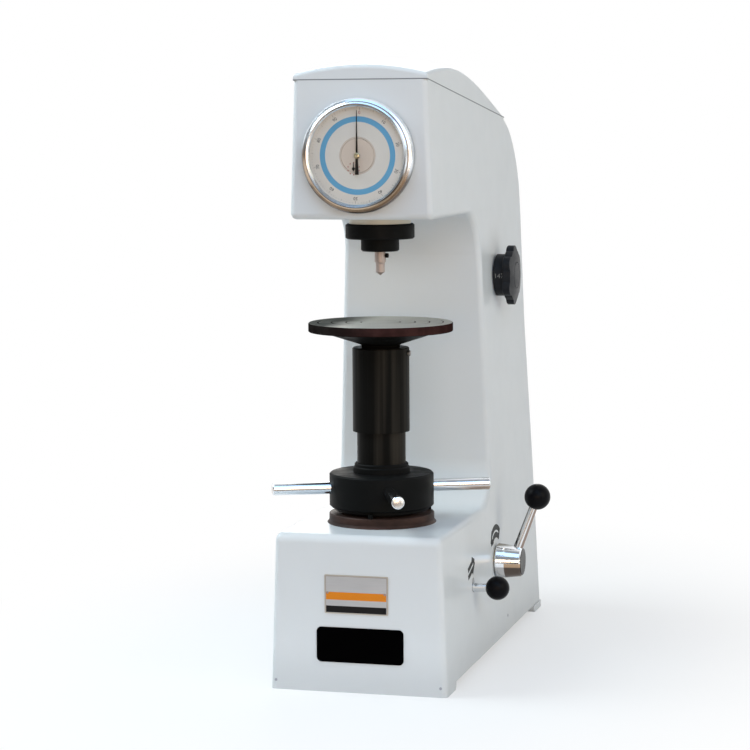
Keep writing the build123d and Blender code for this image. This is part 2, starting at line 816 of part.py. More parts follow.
def outer_sleeve():
    cap_z = screw_head_z - outer_sleeve_cap
    points = [
        (outer_sleeve_bore_r, outer_sleeve_bottom_z),
        (outer_sleeve_r, outer_sleeve_bottom_z),
        (outer_sleeve_r, screw_head_z - 1),
        (outer_sleeve_r - 1, screw_head_z),
        (screw_r + push_gap, screw_head_z),
        (screw_r + push_gap, cap_z),
        (outer_sleeve_bore_r, cap_z),
    ]
    body = turned(points)
    body -= rod_x_axis(sleeve_screw_r + push_gap, screw_r - 2, outer_sleeve_r + 5, 0,
                       screw_head_z - outer_sleeve_cap / 2)
    return body


def sleeve_screw():
    axis_z = screw_head_z - outer_sleeve_cap / 2
    return rod_x_axis(sleeve_screw_r, screw_r - 1.8, sleeve_screw_reach, 0, axis_z)


def inner_sleeve():
    points = [
        (inner_sleeve_bore_r, wheel_top_z),
        (inner_sleeve_r, wheel_top_z),
        (inner_sleeve_r, inner_sleeve_top_z),
        (inner_sleeve_bore_r, inner_sleeve_top_z),
    ]
    return turned(points)


def sleeve_collar():
    inner = inner_sleeve_r + push_gap
    shoulder = wheel_top_z + sleeve_collar_height
    top = shoulder + sleeve_collar_lip
    points = [
        (inner, wheel_top_z),
        (sleeve_collar_r, wheel_top_z),
        (sleeve_collar_r, shoulder - sleeve_collar_edge),
        (sleeve_collar_r - sleeve_collar_edge, shoulder),
        (sleeve_collar_lip_r, shoulder),
        (sleeve_collar_lip_r, top - sleeve_collar_edge),
        (sleeve_collar_lip_r - sleeve_collar_edge, top),
        (inner, top),
    ]
    return turned(points)


def handwheel():
    bore = screw_r + run_fit
    points = [
        (bore, wheel_bottom_z - wheel_step),
        (wheel_step_r, wheel_bottom_z - wheel_step),
        (wheel_step_r, wheel_bottom_z),
        (wheel_r - wheel_edge, wheel_bottom_z),
        (wheel_r, wheel_bottom_z + wheel_edge),
        (wheel_r, wheel_top_z - wheel_edge),
        (wheel_r - wheel_edge, wheel_top_z),
        (bore, wheel_top_z),
    ]
    body = turned(points)
    for index in range(rod_count):
        socket = rod_x_axis(rod_r + push_gap, rod_root_radius, wheel_r + 5, 0, rod_z)
        body -= Rot(0, 0, rod_first_angle + index * 360 / rod_count) * socket
    return body


def handwheel_rods():
    rod = rod_x_axis(rod_r, rod_root_radius, rod_tip_radius, 0, rod_z)
    rod = fillet(rod.edges().sort_by(Axis.X)[-1], rod_tip_edge)
    return Compound(children=[
        Rot(0, 0, rod_first_angle + index * 360 / rod_count) * rod for index in range(rod_count)])


def seat_ring():
    top = base_top + seat_ring_height
    points = [
        (seat_ring_bore_r, base_top),
        (seat_ring_r, base_top),
        (seat_ring_top_r + seat_ring_edge, base_top + seat_ring_lip),
        (seat_ring_top_r, base_top + 2 * seat_ring_lip),
        (seat_ring_top_r, top - seat_ring_edge),
        (seat_ring_top_r - seat_ring_edge, top),
        (seat_ring_bore_r, top),
    ]
    return turned(points)


def seat_ring_screws():
    low = base_top + seat_ring_height
    high = low + seat_screw_head
    head = rod_z_axis(seat_screw_r, low, high, seat_screw_pcd_r)
    head -= rod_z_axis(seat_screw_socket_r, high - seat_screw_socket, high + 1, seat_screw_pcd_r)
    return Compound(children=[
        Rot(0, 0, seat_screw_first_angle + index * 360 / seat_screw_count) * head
        for index in range(seat_screw_count)])


def screw_guide():
    bore = screw_r + run_fit
    points = [
        (bore, guide_bottom_z),
        (guide_r, guide_bottom_z),
        (guide_r, base_top),
        (guide_flange_r, base_top),
        (guide_flange_r, base_top + guide_flange),
        (bore, base_top + guide_flange),
    ]
    body = turned(points)
    key_half = keyway_width / 2 - slide_gap
    key_low = screw_r - keyway_depth + slide_gap
    body += block(-key_half, key_half, key_low, (screw_r + guide_r) / 2,
                  guide_bottom_z + guide_key_inset, base_top - guide_key_inset)
    return body


def thrust_bearing():
    """Two races with a ring of rollers between them."""
    low = base_top + guide_flange
    high = wheel_bottom_z - wheel_step - slide_gap
    races = []
    for z_low in (low, high - bearing_race):
        race = rod_z_axis(bearing_r, z_low, z_low + bearing_race)
        race -= rod_z_axis(bearing_bore_r, z_low - 1, z_low + bearing_race + 1)
        races.append(race)
    cage_r = (bearing_r + bearing_bore_r) / 2
    gap_low = low + bearing_race
    gap_high = high - bearing_race
    roller = rod_x_axis((gap_high - gap_low) / 2, cage_r - bearing_roller_length / 2,
                        cage_r + bearing_roller_length / 2, 0, (gap_low + gap_high) / 2)
    turn = 360 / bearing_roller_count
    rollers = [Rot(0, 0, index * turn) * roller for index in range(bearing_roller_count)]
    return Compound(children=races + rollers)


# ---- dial gauge ----
def dial_case():
    flange_front = head_front - dial_case_flange
    inner = dial_case_r - dial_case_wall
    points = [
        (pointer_arbor_r + 1, dial_case_back_y),
        (dial_case_r, dial_case_back_y),
        (dial_case_r, head_front),
        (dial_case_flange_r, head_front),
        (dial_case_flange_r, flange_front),
        (inner, flange_front),
        (inner, dial_case_back_y - dial_case_wall),
        (pointer_arbor_r + 1, dial_case_back_y - dial_case_wall),
    ]
    body = turned_about_dial(points)
    dx, dz = small_pointer_offset
    body -= rod_y_axis(pointer_arbor_r + 1, dial_case_back_y - 5, dial_case_back_y + 5, dx, dial_z + dz)
    return body


def bezel_ring():
    back = head_front - dial_case_flange - slide_gap
    points = [
        (bezel_bore_r, back),
        (bezel_r - 1.5, back),
        (bezel_r, back - 2),
        (bezel_r, bezel_shoulder_y + 2),
        (bezel_r - 1.5, bezel_shoulder_y),
        (bezel_shoulder_r, bezel_shoulder_y - 0.8),
        (bezel_shoulder_r - 0.8, bezel_front_y + 1),
        (bezel_shoulder_r - 2.4, bezel_front_y),
        (bezel_lip_r + 1, bezel_front_y + 0.6),
        (bezel_lip_r, dial_glass_front_y),
        (bezel_bore_r, dial_glass_front_y),
    ]
    return turned_about_dial(points)


def dial_face():
    back = dial_face_front_y + dial_face_thickness
    points = [
        (dial_centre_r + slide_gap, dial_face_front_y),
        (dial_face_r, dial_face_front_y),
        (dial_face_r, back),
        (dial_centre_r + slide_gap, back),
    ]
    return turned_about_dial(points)


def dial_centre():
    """Fixed inner disc on its post, with holes for both pointer arbors."""
    back = dial_face_front_y + dial_face_thickness
    post_r = dial_centre_r - 1
    points = [
        (pointer_arbor_r + slide_gap, dial_face_front_y),
        (dial_centre_r, dial_face_front_y),
        (dial_centre_r, back),
        (post_r, back),
        (post_r, dial_case_back_y - dial_case_wall),
        (pointer_arbor_r + slide_gap, dial_case_back_y - dial_case_wall),
    ]
    body = turned_about_dial(points)
    dx, dz = small_pointer_offset
    body -= rod_y_axis(pointer_arbor_r + slide_gap, dial_face_front_y - 5, dial_case_back_y, dx, dial_z + dz)
    return body


def dial_glass():
    return rod_y_axis(dial_face_r, dial_glass_front_y, dial_glass_front_y + dial_glass_thickness, 0, dial_z)


def needle(length, tail, hub_r, tip_half, root_half, tail_half):
    """Flat pointer along +Z in the XZ plane, as a face."""
    blade = make_face(Polyline(
        (-root_half, 0), (-tip_half, length), (tip_half, length), (root_half, 0), close=True))
    weight = make_face(Polyline(
        (-root_half, 0), (-tail_half, -tail), (tail_half, -tail), (root_half, 0), close=True))
    return blade + weight + Circle(hub_r)


def pointer(length, tail, hub_r, tip_half, root_half, tail_half, front_y, x, z):
    flat = Plane.XZ * needle(length, tail, hub_r, tip_half, root_half, tail_half)
    blade = extrude(flat, pointer_thickness, both=False)
    blade = Pos(0, pointer_thickness, 0) * blade
    arbor = rod_y_axis(pointer_arbor_r, pointer_thickness / 2, dial_case_back_y - front_y, 0, 0)
    return Pos(x, front_y, z) * (blade + arbor)


def long_pointer():
    return pointer(pointer_length, pointer_tail, pointer_hub_r, 0.25, 1.0, 1.9, pointer_front_y, 0, dial_z)


def small_pointer():
    dx, dz = small_pointer_offset
    return pointer(small_pointer_length, 2.5, 1.5, 0.2, 0.5, 0.5, small_pointer_front_y, dx, dial_z + dz)


def gauge_movement():
    body = rod_y_axis(movement_r, dial_case_back_y, dial_case_back_y + movement_depth, 0, dial_z)
    return chamfer(body.edges().sort_by(Axis.Y)[-1], 2)


# ---- load train ----
def knife(y, tip_z, direction):
    """Hardened bar with its edge up (direction 1) or down (direction -1)."""
    half = knife_width / 2
    points = [
        (y, tip_z),
        (y + half, tip_z - direction * half),
        (y + half, tip_z - direction * knife_height),
        (y - half, tip_z - direction * knife_height),
        (y - half, tip_z - direction * half),
    ]
    return side_plate(points, -knife_half_length, knife_half_length)


def main_lever():
    points = [
        (lever_front_y, lever_z - lever_half_height),
        (lever_taper_y, lever_z - lever_half_height),
        (lever_rear_y, lever_z - lever_tail_half_height),
        (lever_rear_y, lever_z + lever_tail_half_height),
        (lever_taper_y, lever_z + lever_half_height),
        (lever_front_y, lever_z + lever_half_height),
    ]
    body = side_plate(points, -lever_half_width, lever_half_width)
    for y in lever_holes:
        body -= rod_x_axis(lever_hole_r, -2 * lever_half_width, 2 * lever_half_width, y, lever_z)
    body -= knife(fulcrum_y, lever_z, 1)
    body -= knife(load_y, lever_z, 1)
    body -= knife(0, lever_z - spindle_knife_drop, -1)
    body -= block(-tail_slot / 2, tail_slot / 2, damper_y - tail_eye_half - 4, lever_rear_y + 1,
                  lever_z - 2 * lever_half_height, lever_z + 2 * lever_half_height)
    body -= rod_x_axis(tail_pin_r + push_gap, -2 * lever_half_width, 2 * lever_half_width, damper_y, lever_z)
    return body


def lever_knives():
    fulcrum_knife = knife(fulcrum_y, lever_z, 1)
    spindle_knife = knife(0, lever_z - spindle_knife_drop, -1)
    load_knife = knife(load_y, lever_z, 1)
    return Compound(children=[fulcrum_knife, spindle_knife, load_knife])


def tail_pin():
    return rod_x_axis(tail_pin_r, -lever_half_width, lever_half_width, damper_y, lever_z)


def seat_plate(y, z_low, x_low):
    """Upright plate with a window whose top is the V seat of a knife edge."""
    top = lever_z + block_top_over
    half = block_half_width
    plate = block(x_low, x_low + block_thickness, y - half, y + half, z_low, top)
    side_z = lever_z + seat_gap - seat_slope
    sill_z = lever_z - knife_height - 3
    window = [
        (y, lever_z + seat_gap),
        (y + seat_window_half, side_z),
        (y + seat_window_half, sill_z),
        (y - seat_window_half, sill_z),
        (y - seat_window_half, side_z),
    ]
    return plate - side_plate(window, x_low - 1, x_low + block_thickness + 1)


def fulcrum_block(side):
    x_low = block_gap if side > 0 else -block_gap - block_thickness
    floor = head_bottom + wall
    body = seat_plate(fulcrum_y, floor, x_low)
    foot_low = x_low if side > 0 else x_low - block_foot_reach
    body += block(foot_low, foot_low + block_thickness + block_foot_reach, fulcrum_y - block_half_width,
                  fulcrum_y + block_half_width, floor, floor + block_foot)
    return body


def weight_hanger():
    plates = [seat_plate(load_y, hanger_bridge_z, x) for x in (block_gap, -block_gap - block_thickness)]
    outer = block_gap + block_thickness
    body = block(-outer, outer, load_y - block_half_width, load_y + block_half_width,
                 hanger_bridge_z, hanger_bridge_z + hanger_bridge)
    for plate in plates:
        body += plate
    body += rod_z_axis(hanger_rod_r, hanger_flange_z, hanger_bridge_z, 0, load_y)
    body += rod_z_axis(hanger_flange_r, hanger_flange_z, hanger_flange_z + hanger_flange, 0, load_y)
    return body


def weight(index):
    z_low = hanger_flange_z + hanger_flange + sum(weight_heights[:index])
    height = weight_heights[index]
    disc = Cylinder(weight_r, height, align=centred_bottom)
    body = chamfer(disc.edges().filter_by(GeomType.CIRCLE), weight_edge)
    body -= Cylinder(hanger_rod_r + 2 * slide_gap, 3 * height)
    return Pos(0, load_y, z_low) * body


def weight_yoke():
    """Ring under the weights, hung by two rods from pads that ride on the selector cams."""
    ring_top = yoke_ring_z + yoke_ring
    cam_top = selector_z + cam_r + cam_offset * sin(radians(cam_angle)) + cam_gap
    body = rod_z_axis(yoke_ring_r, yoke_ring_z, ring_top, 0, load_y)
    bar_x = yoke_rod_x + yoke_bar_over
    bar_front = yoke_rod_y - yoke_bar_half
    bar_rear = yoke_rod_y + yoke_bar_half
    body += block(-bar_x, bar_x, bar_front, bar_rear, yoke_ring_z, ring_top)
    body -= rod_z_axis(yoke_ring_bore_r, yoke_ring_z - 1, ring_top + 1, 0, load_y)
    for side in (-1, 1):
        body += rod_z_axis(yoke_rod_r, ring_top - 1, cam_top + 1, side * yoke_rod_x, yoke_rod_y)
        x_low = min(side * (cam_x - cam_half), side * (yoke_rod_x + yoke_rod_r))
        x_high = max(side * (cam_x - cam_half), side * (yoke_rod_x + yoke_rod_r))
        pad_rear = yoke_rod_y + yoke_rod_r + 1
        body += block(x_low, x_high, selector_y - cam_r, pad_rear, cam_top, cam_top + yoke_pad)
    return body


def dashpot_cylinder():
    body = rod_z_axis(dashpot_r, dashpot_bottom_z, dashpot_top_z, 0, damper_y)
    body += block(-dashpot_arm_half, dashpot_arm_half, damper_y, dashpot_pad_y, *dashpot_arm_z)
    body -= rod_z_axis(dashpot_bore_r, dashpot_bottom_z + dashpot_floor, dashpot_top_z + 1, 0, damper_y)
    return body


def dashpot_cover():
    body = rod_z_axis(dashpot_r, dashpot_top_z, dashpot_top_z + dashpot_lid, 0, damper_y)
    lid_top = dashpot_top_z + dashpot_lid
    body -= rod_z_axis(piston_rod_r + run_fit, dashpot_top_z - 1, lid_top + 1, 0, damper_y)
    return body


def dashpot_piston():
    eye = (tail_slot - 1) / 2
    body = rod_z_axis(piston_r, piston_z, piston_z + piston_height, 0, damper_y)
    eye_z = lever_z - 2 * tail_eye_half
    body += rod_z_axis(piston_rod_r, piston_z, eye_z + 1, 0, damper_y)
    eye_top = lever_z + tail_eye_half
    body += block(-eye, eye, damper_y - tail_eye_half, damper_y + tail_eye_half, eye_z, eye_top)
    body -= rod_x_axis(tail_pin_r + 2 * slide_gap, -lever_half_width, lever_half_width, damper_y, lever_z)
    return body


def eccentric_top():
    return unload_z + eccentric_r + eccentric_offset * sin(radians(eccentric_angle))


def lifting_rod():
    foot_z = eccentric_top() + seat_gap
    top_z = lever_bottom(lifter_y) - seat_gap
    half = eccentric_half - 1
    body = block(-half, half, unload_y - lifter_foot_front, unload_y + lifter_foot_rear,
                 foot_z, foot_z + lifter_foot)
    body += rod_z_axis(lifter_r, foot_z + lifter_foot - 1, top_z - 1, 0, lifter_y)
    body += rod_z_axis(lifter_pad_r, top_z - lifter_pad, top_z, 0, lifter_y)
    return body


def lever_bottom(y):
    """Underside of the tapered part of the main lever at the pad's high corner."""
    share = (y - lifter_pad_r - lever_taper_y) / (lever_rear_y - lever_taper_y)
    return lever_z - lever_half_height + share * (lever_half_height - lever_tail_half_height)


def lifter_guide():
    z_low = guide_block_z - guide_block_half
    z_high = guide_block_z + guide_block_half
    rear_y = 2 * lifter_y - guide_block_front_y
    body = block(-guide_block_half_width, guide_block_half_width, guide_block_front_y, rear_y, z_low, z_high)
    body -= rod_z_axis(lifter_r + run_fit, z_low - 1, z_high + 1, 0, lifter_y)
    return body


# ---- load selector ----
def bush(radius, bore, x_low, x_high, y, z):
    body = rod_x_axis(radius, x_low, x_high, y, z)
    return body - rod_x_axis(bore, x_low - 1, x_high + 1, y, z)


def selector_bush():
    x_low = selector_wall_x - wall - boss_rise
    x_high = knob_inner_x - slide_gap
    return bush(selector_bush_r, selector_shaft_r + run_fit, x_low, x_high, selector_y, selector_z)


def selector_knob():
    """Hub with a lobed hand flange; the flange's outer face is domed and carries a cap."""
    rim_r = knob_lobe_pcd_r + knob_lobe_r
    flange = Circle(knob_web_r)
    for index in range(knob_lobe_count):
        angle = radians(index * 360 / knob_lobe_count)
        flange += Pos(knob_lobe_pcd_r * cos(angle), knob_lobe_pcd_r * sin(angle)) * Circle(knob_lobe_r)
    grip = extrude(flange, knob_rim_length + knob_dome)
    grip = chamfer(grip.faces().sort_by(Axis.Z)[0].edges(), knob_back_edge)
    dome_r = (rim_r ** 2 + knob_dome ** 2) / (2 * knob_dome)
    grip &= Pos(0, 0, knob_rim_length + knob_dome - dome_r) * Sphere(dome_r)
    groove = Cylinder(knob_cap_r + knob_cap_groove, 2 * knob_dome) - Cylinder(knob_cap_r, 3 * knob_dome)
    grip -= Pos(0, 0, knob_rim_length + 1.5 * knob_dome) * groove
    hub_length = knob_hub_length + knob_back_edge
    hub = Pos(0, 0, -knob_hub_length) * Cylinder(knob_hub_r, hub_length, align=centred_bottom)
    body = grip + hub
    bore_r = selector_shaft_r + push_gap
    body -= Pos(0, 0, -knob_hub_length) * Cylinder(bore_r, knob_bore, align=centred_bottom)
    return Pos(knob_flange_x, selector_y, selector_z) * Rot(0, 90, 0) * body


def selector_shaft():
    x_low = wall - selector_wall_x
    return rod_x_axis(selector_shaft_r, x_low, knob_inner_x + knob_bore - 1, selector_y, selector_z)


def selector_cam(side):
    x_low = side * cam_x - cam_half
    y = selector_y + cam_offset * cos(radians(cam_angle))
    z = selector_z + cam_offset * sin(radians(cam_angle))
    body = rod_x_axis(cam_r, x_low, x_low + 2 * cam_half, y, z)
    return body - rod_x_axis(selector_shaft_r + push_gap, x_low - 1, x_low + 20, selector_y, selector_z)


# ---- unloading lever ----
def unload_bush():
    x_low = unload_wall_x - wall - boss_rise
    return bush(unload_bush_r, unload_shaft_r + run_fit, x_low, unload_hub_x - slide_gap, unload_y, unload_z)


def unload_shaft():
    x_low = wall - unload_wall_x
    return rod_x_axis(unload_shaft_r, x_low, unload_hub_x + 6, unload_y, unload_z)


def unload_eccentric():
    y = unload_y + eccentric_offset * cos(radians(eccentric_angle))
    z = unload_z + eccentric_offset * sin(radians(eccentric_angle))
    hub_end = -eccentric_half - eccentric_hub
    body = rod_x_axis(eccentric_r, -eccentric_half, eccentric_half, y, z)
    body += rod_x_axis(eccentric_hub_r, hub_end, -eccentric_half, unload_y, unload_z)
    return body - rod_x_axis(unload_shaft_r + push_gap, hub_end - 1, eccentric_half + 1, unload_y, unload_z)


def latch_disc():
    body = rod_x_axis(latch_disc_r, latch_x, latch_x + latch_thickness, unload_y, unload_z)
    return body - rod_x_axis(unload_shaft_r + push_gap, latch_x - 1, latch_x + 20, unload_y, unload_z)


def tapered_rod(start, end, start_r, end_r):
    direction = end - start
    plane = Plane(origin=start, z_dir=direction)
    return plane * Cone(start_r, end_r, direction.length, align=centred_bottom)


def unload_rod_axis():
    root = Vector(unload_rod_root_x, unload_y, unload_z)
    ball = Vector(*unload_ball_at)
    return root, ball, (ball - root).normalized()


def unload_hub():
    points = [
        (0, unload_hub_x),
        (unload_hub_r - 1, unload_hub_x),
        (unload_hub_r, unload_hub_x + 1.5),
        (unload_hub_end_r, unload_hub_end_x - unload_hub_edge),
        (unload_hub_end_r - unload_hub_edge, unload_hub_end_x),
        (0, unload_hub_end_x),
    ]
    body = Pos(0, unload_y, unload_z) * Rot(0, 90, 0) * turned(points)
    body -= rod_x_axis(unload_shaft_r + push_gap, unload_hub_x - 1, unload_hub_x + 6, unload_y, unload_z)
    screw = Cylinder(unload_set_screw_r, 2 * unload_set_screw_depth)
    body -= Pos(0, unload_y, unload_z) * Rot(unload_set_screw_angle - 90, 0, 0) * Pos(
        unload_set_screw_x, 0, unload_hub_r) * screw
    root, ball, along = unload_rod_axis()
    socket = Plane(origin=root, z_dir=along) * Cylinder(unload_rod_r + push_gap, 3 * unload_hub_r, align=centred_bottom)
    return body - socket


def unload_rod():
    root, ball, along = unload_rod_axis()
    return tapered_rod(root, ball - along * (unload_ball_r - 6), unload_rod_r, unload_rod_tip_r)


def unload_ball():
    root, ball, along = unload_rod_axis()
    body = Pos(*unload_ball_at) * Sphere(unload_ball_r)
    start = ball - along * (unload_ball_r + 2)
    body -= Plane(origin=start, z_dir=along) * Cylinder(unload_rod_tip_r + 0.3, 8.2, align=centred_bottom)
    return body


# ---- loading lever ----
def load_rod():
    return rod_x_axis(load_rod_r, latch_x, load_ball_x - load_ball_r + 6, load_rod_y, load_rod_z)


def load_ball():
    body = Pos(load_ball_x, load_rod_y, load_rod_z) * Sphere(load_ball_r)
    body -= rod_x_axis(load_rod_r + push_gap, load_ball_x - load_ball_r - 2, load_ball_x - load_ball_r + 6,
                       load_rod_y, load_rod_z)
    return body


def latch_plate():
    """Two-armed latch: one arm carries the loading rod, the other ends beside the latch disc."""
    arm = hull_bar(latch_pivot_y, latch_pivot_z, latch_hub_r, load_rod_y, load_rod_z, latch_rod_end_r)
    reach = latch_disc_r + latch_nose_gap + latch_nose_r
    nose_y = unload_y - reach * cos(radians(latch_nose_angle))
    nose_z = unload_z - reach * sin(radians(latch_nose_angle))
    nose = hull_bar(latch_pivot_y, latch_pivot_z, latch_hub_r, nose_y, nose_z, latch_nose_r)
    flat = arm + nose
    body = Pos(latch_x, 0, 0) * extrude(Plane.YZ * flat, latch_thickness)
    body -= rod_x_axis(latch_pin_r + run_fit, latch_x - 1, latch_x + 20, latch_pivot_y, latch_pivot_z)
    body -= rod_x_axis(load_rod_r + push_gap, latch_x - 1, latch_x + 20, load_rod_y, load_rod_z)
    return body


def hull_bar(y_a, z_a, r_a, y_b, z_b, r_b):
    """Tapered bar with round ends, as a face."""
    a = Vector(y_a, z_a)
    b = Vector(y_b, z_b)
    side = (b - a).normalized().rotate(Axis.Z, 90)
    web = make_face(Polyline(
        a + side * r_a, b + side * r_b, b - side * r_b, a - side * r_a, close=True))
    return web + Pos(y_a, z_a) * Circle(r_a) + Pos(y_b, z_b) * Circle(r_b)


def latch_pin():
    body = rod_x_axis(latch_pin_r, latch_x - 3, half_width(latch_pivot_z) - latch_pin_wall,
                      latch_pivot_y, latch_pivot_z)
    body += rod_x_axis(latch_pin_r + 3, latch_x - 3, latch_x - slide_gap, latch_pivot_y, latch_pivot_z)
    return body


# ---- plates ----
def front_plate(size, at, corner_r):
    outline = Plane.XZ * RectangleRounded(size[0], size[1], corner_r)
    return Pos(at[0], base_front, at[1]) * extrude(outline, plate_thickness)


save(frame_casting(), "frame_casting")
save(top_cover(), "top_cover")
save(rear_cover(), "rear_cover")
save(rear_cover_screws(), "rear_cover_screws")
save(front_plate(data_plate_size, data_plate_at, 1.0), "data_plate")
save(front_plate(badge_size, badge_at, badge_corner_r), "blank_badge")
save(spindle_housing(), "spindle_housing")
save(guard_flange(), "guard_flange")
save(spindle(), "spindle")
save(indenter(), "indenter")
save(indenter_screw(), "indenter_screw")
save(anvil_table(), "anvil_table")
save(lead_screw(), "lead_screw")
save(outer_sleeve(), "outer_sleeve")
save(sleeve_screw(), "sleeve_screw")
save(inner_sleeve(), "inner_sleeve")
save(sleeve_collar(), "sleeve_collar")
save(handwheel(), "handwheel")
save(handwheel_rods(), "handwheel_rods")
save(seat_ring(), "seat_ring")
save(seat_ring_screws(), "seat_ring_screws")
save(screw_guide(), "screw_guide")
save(thrust_bearing(), "thrust_bearing")
save(dial_case(), "dial_case")
save(bezel_ring(), "bezel_ring")
save(dial_face(), "dial_face")
save(dial_centre(), "dial_centre")
save(dial_glass(), "dial_glass")
save(long_pointer(), "long_pointer")
save(small_pointer(), "small_pointer")
save(gauge_movement(), "gauge_movement")
save(main_lever(), "main_lever")
save(lever_knives(), "lever_knives")
save(tail_pin(), "tail_pin")
save(Compound(children=[fulcrum_block(-1), fulcrum_block(1)]), "fulcrum_blocks")
save(weight_hanger(), "weight_hanger")
for number in range(len(weight_heights)):
    save(weight(number), f"weight_{number + 1}")
save(weight_yoke(), "weight_yoke")
save(dashpot_cylinder(), "dashpot_cylinder")
save(dashpot_cover(), "dashpot_cover")
save(dashpot_piston(), "dashpot_piston")
save(lifting_rod(), "lifting_rod")
save(lifter_guide(), "lifter_guide")
save(selector_bush(), "selector_bush")
save(selector_knob(), "selector_knob")
save(selector_shaft(), "selector_shaft")
save(Compound(children=[selector_cam(-1), selector_cam(1)]), "selector_cams")
save(unload_bush(), "unload_bush")
save(unload_shaft(), "unload_shaft")
save(unload_eccentric(), "unload_eccentric")
save(latch_disc(), "latch_disc")
save(unload_hub(), "unload_hub")
save(unload_rod(), "unload_rod")
save(unload_ball(), "unload_ball")
save(load_rod(), "load_rod")
save(load_ball(), "load_ball")
save(latch_plate(), "latch_plate")
save(latch_pin(), "latch_pin")
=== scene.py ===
"""Looks of a bench hardness tester: finishes, printed marks, small trim, light and camera."""
import math

import bmesh
import bpy
from mathutils import Matrix, Vector


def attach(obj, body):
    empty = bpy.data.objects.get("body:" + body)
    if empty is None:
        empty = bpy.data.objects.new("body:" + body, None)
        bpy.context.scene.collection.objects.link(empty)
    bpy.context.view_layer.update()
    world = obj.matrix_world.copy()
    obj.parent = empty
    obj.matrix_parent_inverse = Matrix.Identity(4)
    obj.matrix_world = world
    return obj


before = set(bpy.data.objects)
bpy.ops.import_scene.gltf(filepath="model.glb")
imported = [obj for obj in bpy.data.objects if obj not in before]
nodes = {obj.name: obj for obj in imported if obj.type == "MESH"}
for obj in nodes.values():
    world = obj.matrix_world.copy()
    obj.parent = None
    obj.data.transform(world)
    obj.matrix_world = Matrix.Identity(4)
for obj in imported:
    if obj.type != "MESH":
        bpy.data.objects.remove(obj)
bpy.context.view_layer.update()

MM = 0.001

# ---- places and sizes on the machine, in millimetres ----
FLOOR_HALF_WIDTH = 92.8
WALL_LEAN = 0.0379             # how far a side wall leans in for each millimetre of height
BASE_FRONT_Y = -97.0
HEAD_FRONT_Y = -74.5
COVER_REAR_Y = 279.0
SEAM_FRONT_Z = 618.0
SEAM_SLOPE = -0.1085

DIAL_Z = 542.3
DIAL_FACE_Y = -84.6
POINTER_Y = -87.4
ZERO_TURN = 3.0                # the scale is set this many degrees past the top
CENTRE_R = 18.7                # beige middle of the scale
CENTRE_LINE_R = 18.35          # where the thin line round it starts
BAND_IN, BAND_OUT = 33.5, 39.0
NUMBER_R = 42.6
TICK_OUT = 47.8
SCALE_NUMBER_HEIGHT = 3.2
COUNTER_AT = (-4.0, -13.0)     # counter pointer's pivot, from the dial's centre
COUNTER_DOTS_R = 6.0

# radii of the bezel's painted reflections: its dark line below, its brown line above and its darkening rim
STEP_IN, STEP_OUT = 51.4, 52.3
CREASE_IN, CREASE_OUT = 53.0, 53.9
RIM_IN, RIM_OUT = 55.6, 56.4

PLATE_Y = -97.8
PLATE_AT = (-1.1, 101.0)
PLATE_SIZE = (66.5, 39.5)
PLATE_RIM = 0.9

TABLE_TOP_Z = 369.4
TABLE_EDGE_R = 74.6
TABLE_RIM = 9.0

KNOB_AT = (208.0, 406.0)
KNOB_HUB_R = 23.1
KNOB_NUMBER_X = 85.0
KNOB_NUMBER_HEIGHT = 5.2

UNLOAD_AT = (152.0, 95.5)
HUB_END_X = 119.0
HUB_TINT = 18.0                # length of the hub, from its end, that carries the painted reflection below

ROD_Z = 197.6
ROD_TIP = 114.5
ROD_FIRST = 23.3               # turn of the first rod, in degrees
ROD_COUNT = 4

# ---- colours that more than one finish uses ----
CENTRE_BEIGE = (0.66, 0.545, 0.475)
CENTRE_LINE = (0.50, 0.40, 0.34)
WHITE = (1.0, 1.0, 1.0, 1.0)


def half_width(z):
    return FLOOR_HALF_WIDTH - WALL_LEAN * z


def seam_z(y):
    return SEAM_FRONT_Z + SEAM_SLOPE * (y - HEAD_FRONT_Y)


# ---- shader maths ----


class Value:
    """One output of a shader node; arithmetic on it adds Math nodes."""

    def __init__(self, owner, node, output=0):
        self.owner = owner
        self.node = node
        self.socket = node.outputs[output] if len(node.outputs) else None

    def out(self, name):
        return Value(self.owner, self.node, name)

    def math(self, operation, *others):
        return self.owner.calculate(operation, self, *others)

    def __add__(self, other):
        return self.math("ADD", other)

    __radd__ = __add__

    def __sub__(self, other):
        return self.math("SUBTRACT", other)

    def __rsub__(self, other):
        return self.owner.calculate("SUBTRACT", other, self)

    def __mul__(self, other):
        return self.math("MULTIPLY", other)

    __rmul__ = __mul__

    def __gt__(self, other):
        return self.math("GREATER_THAN", other)

    def __lt__(self, other):
        return self.math("LESS_THAN", other)


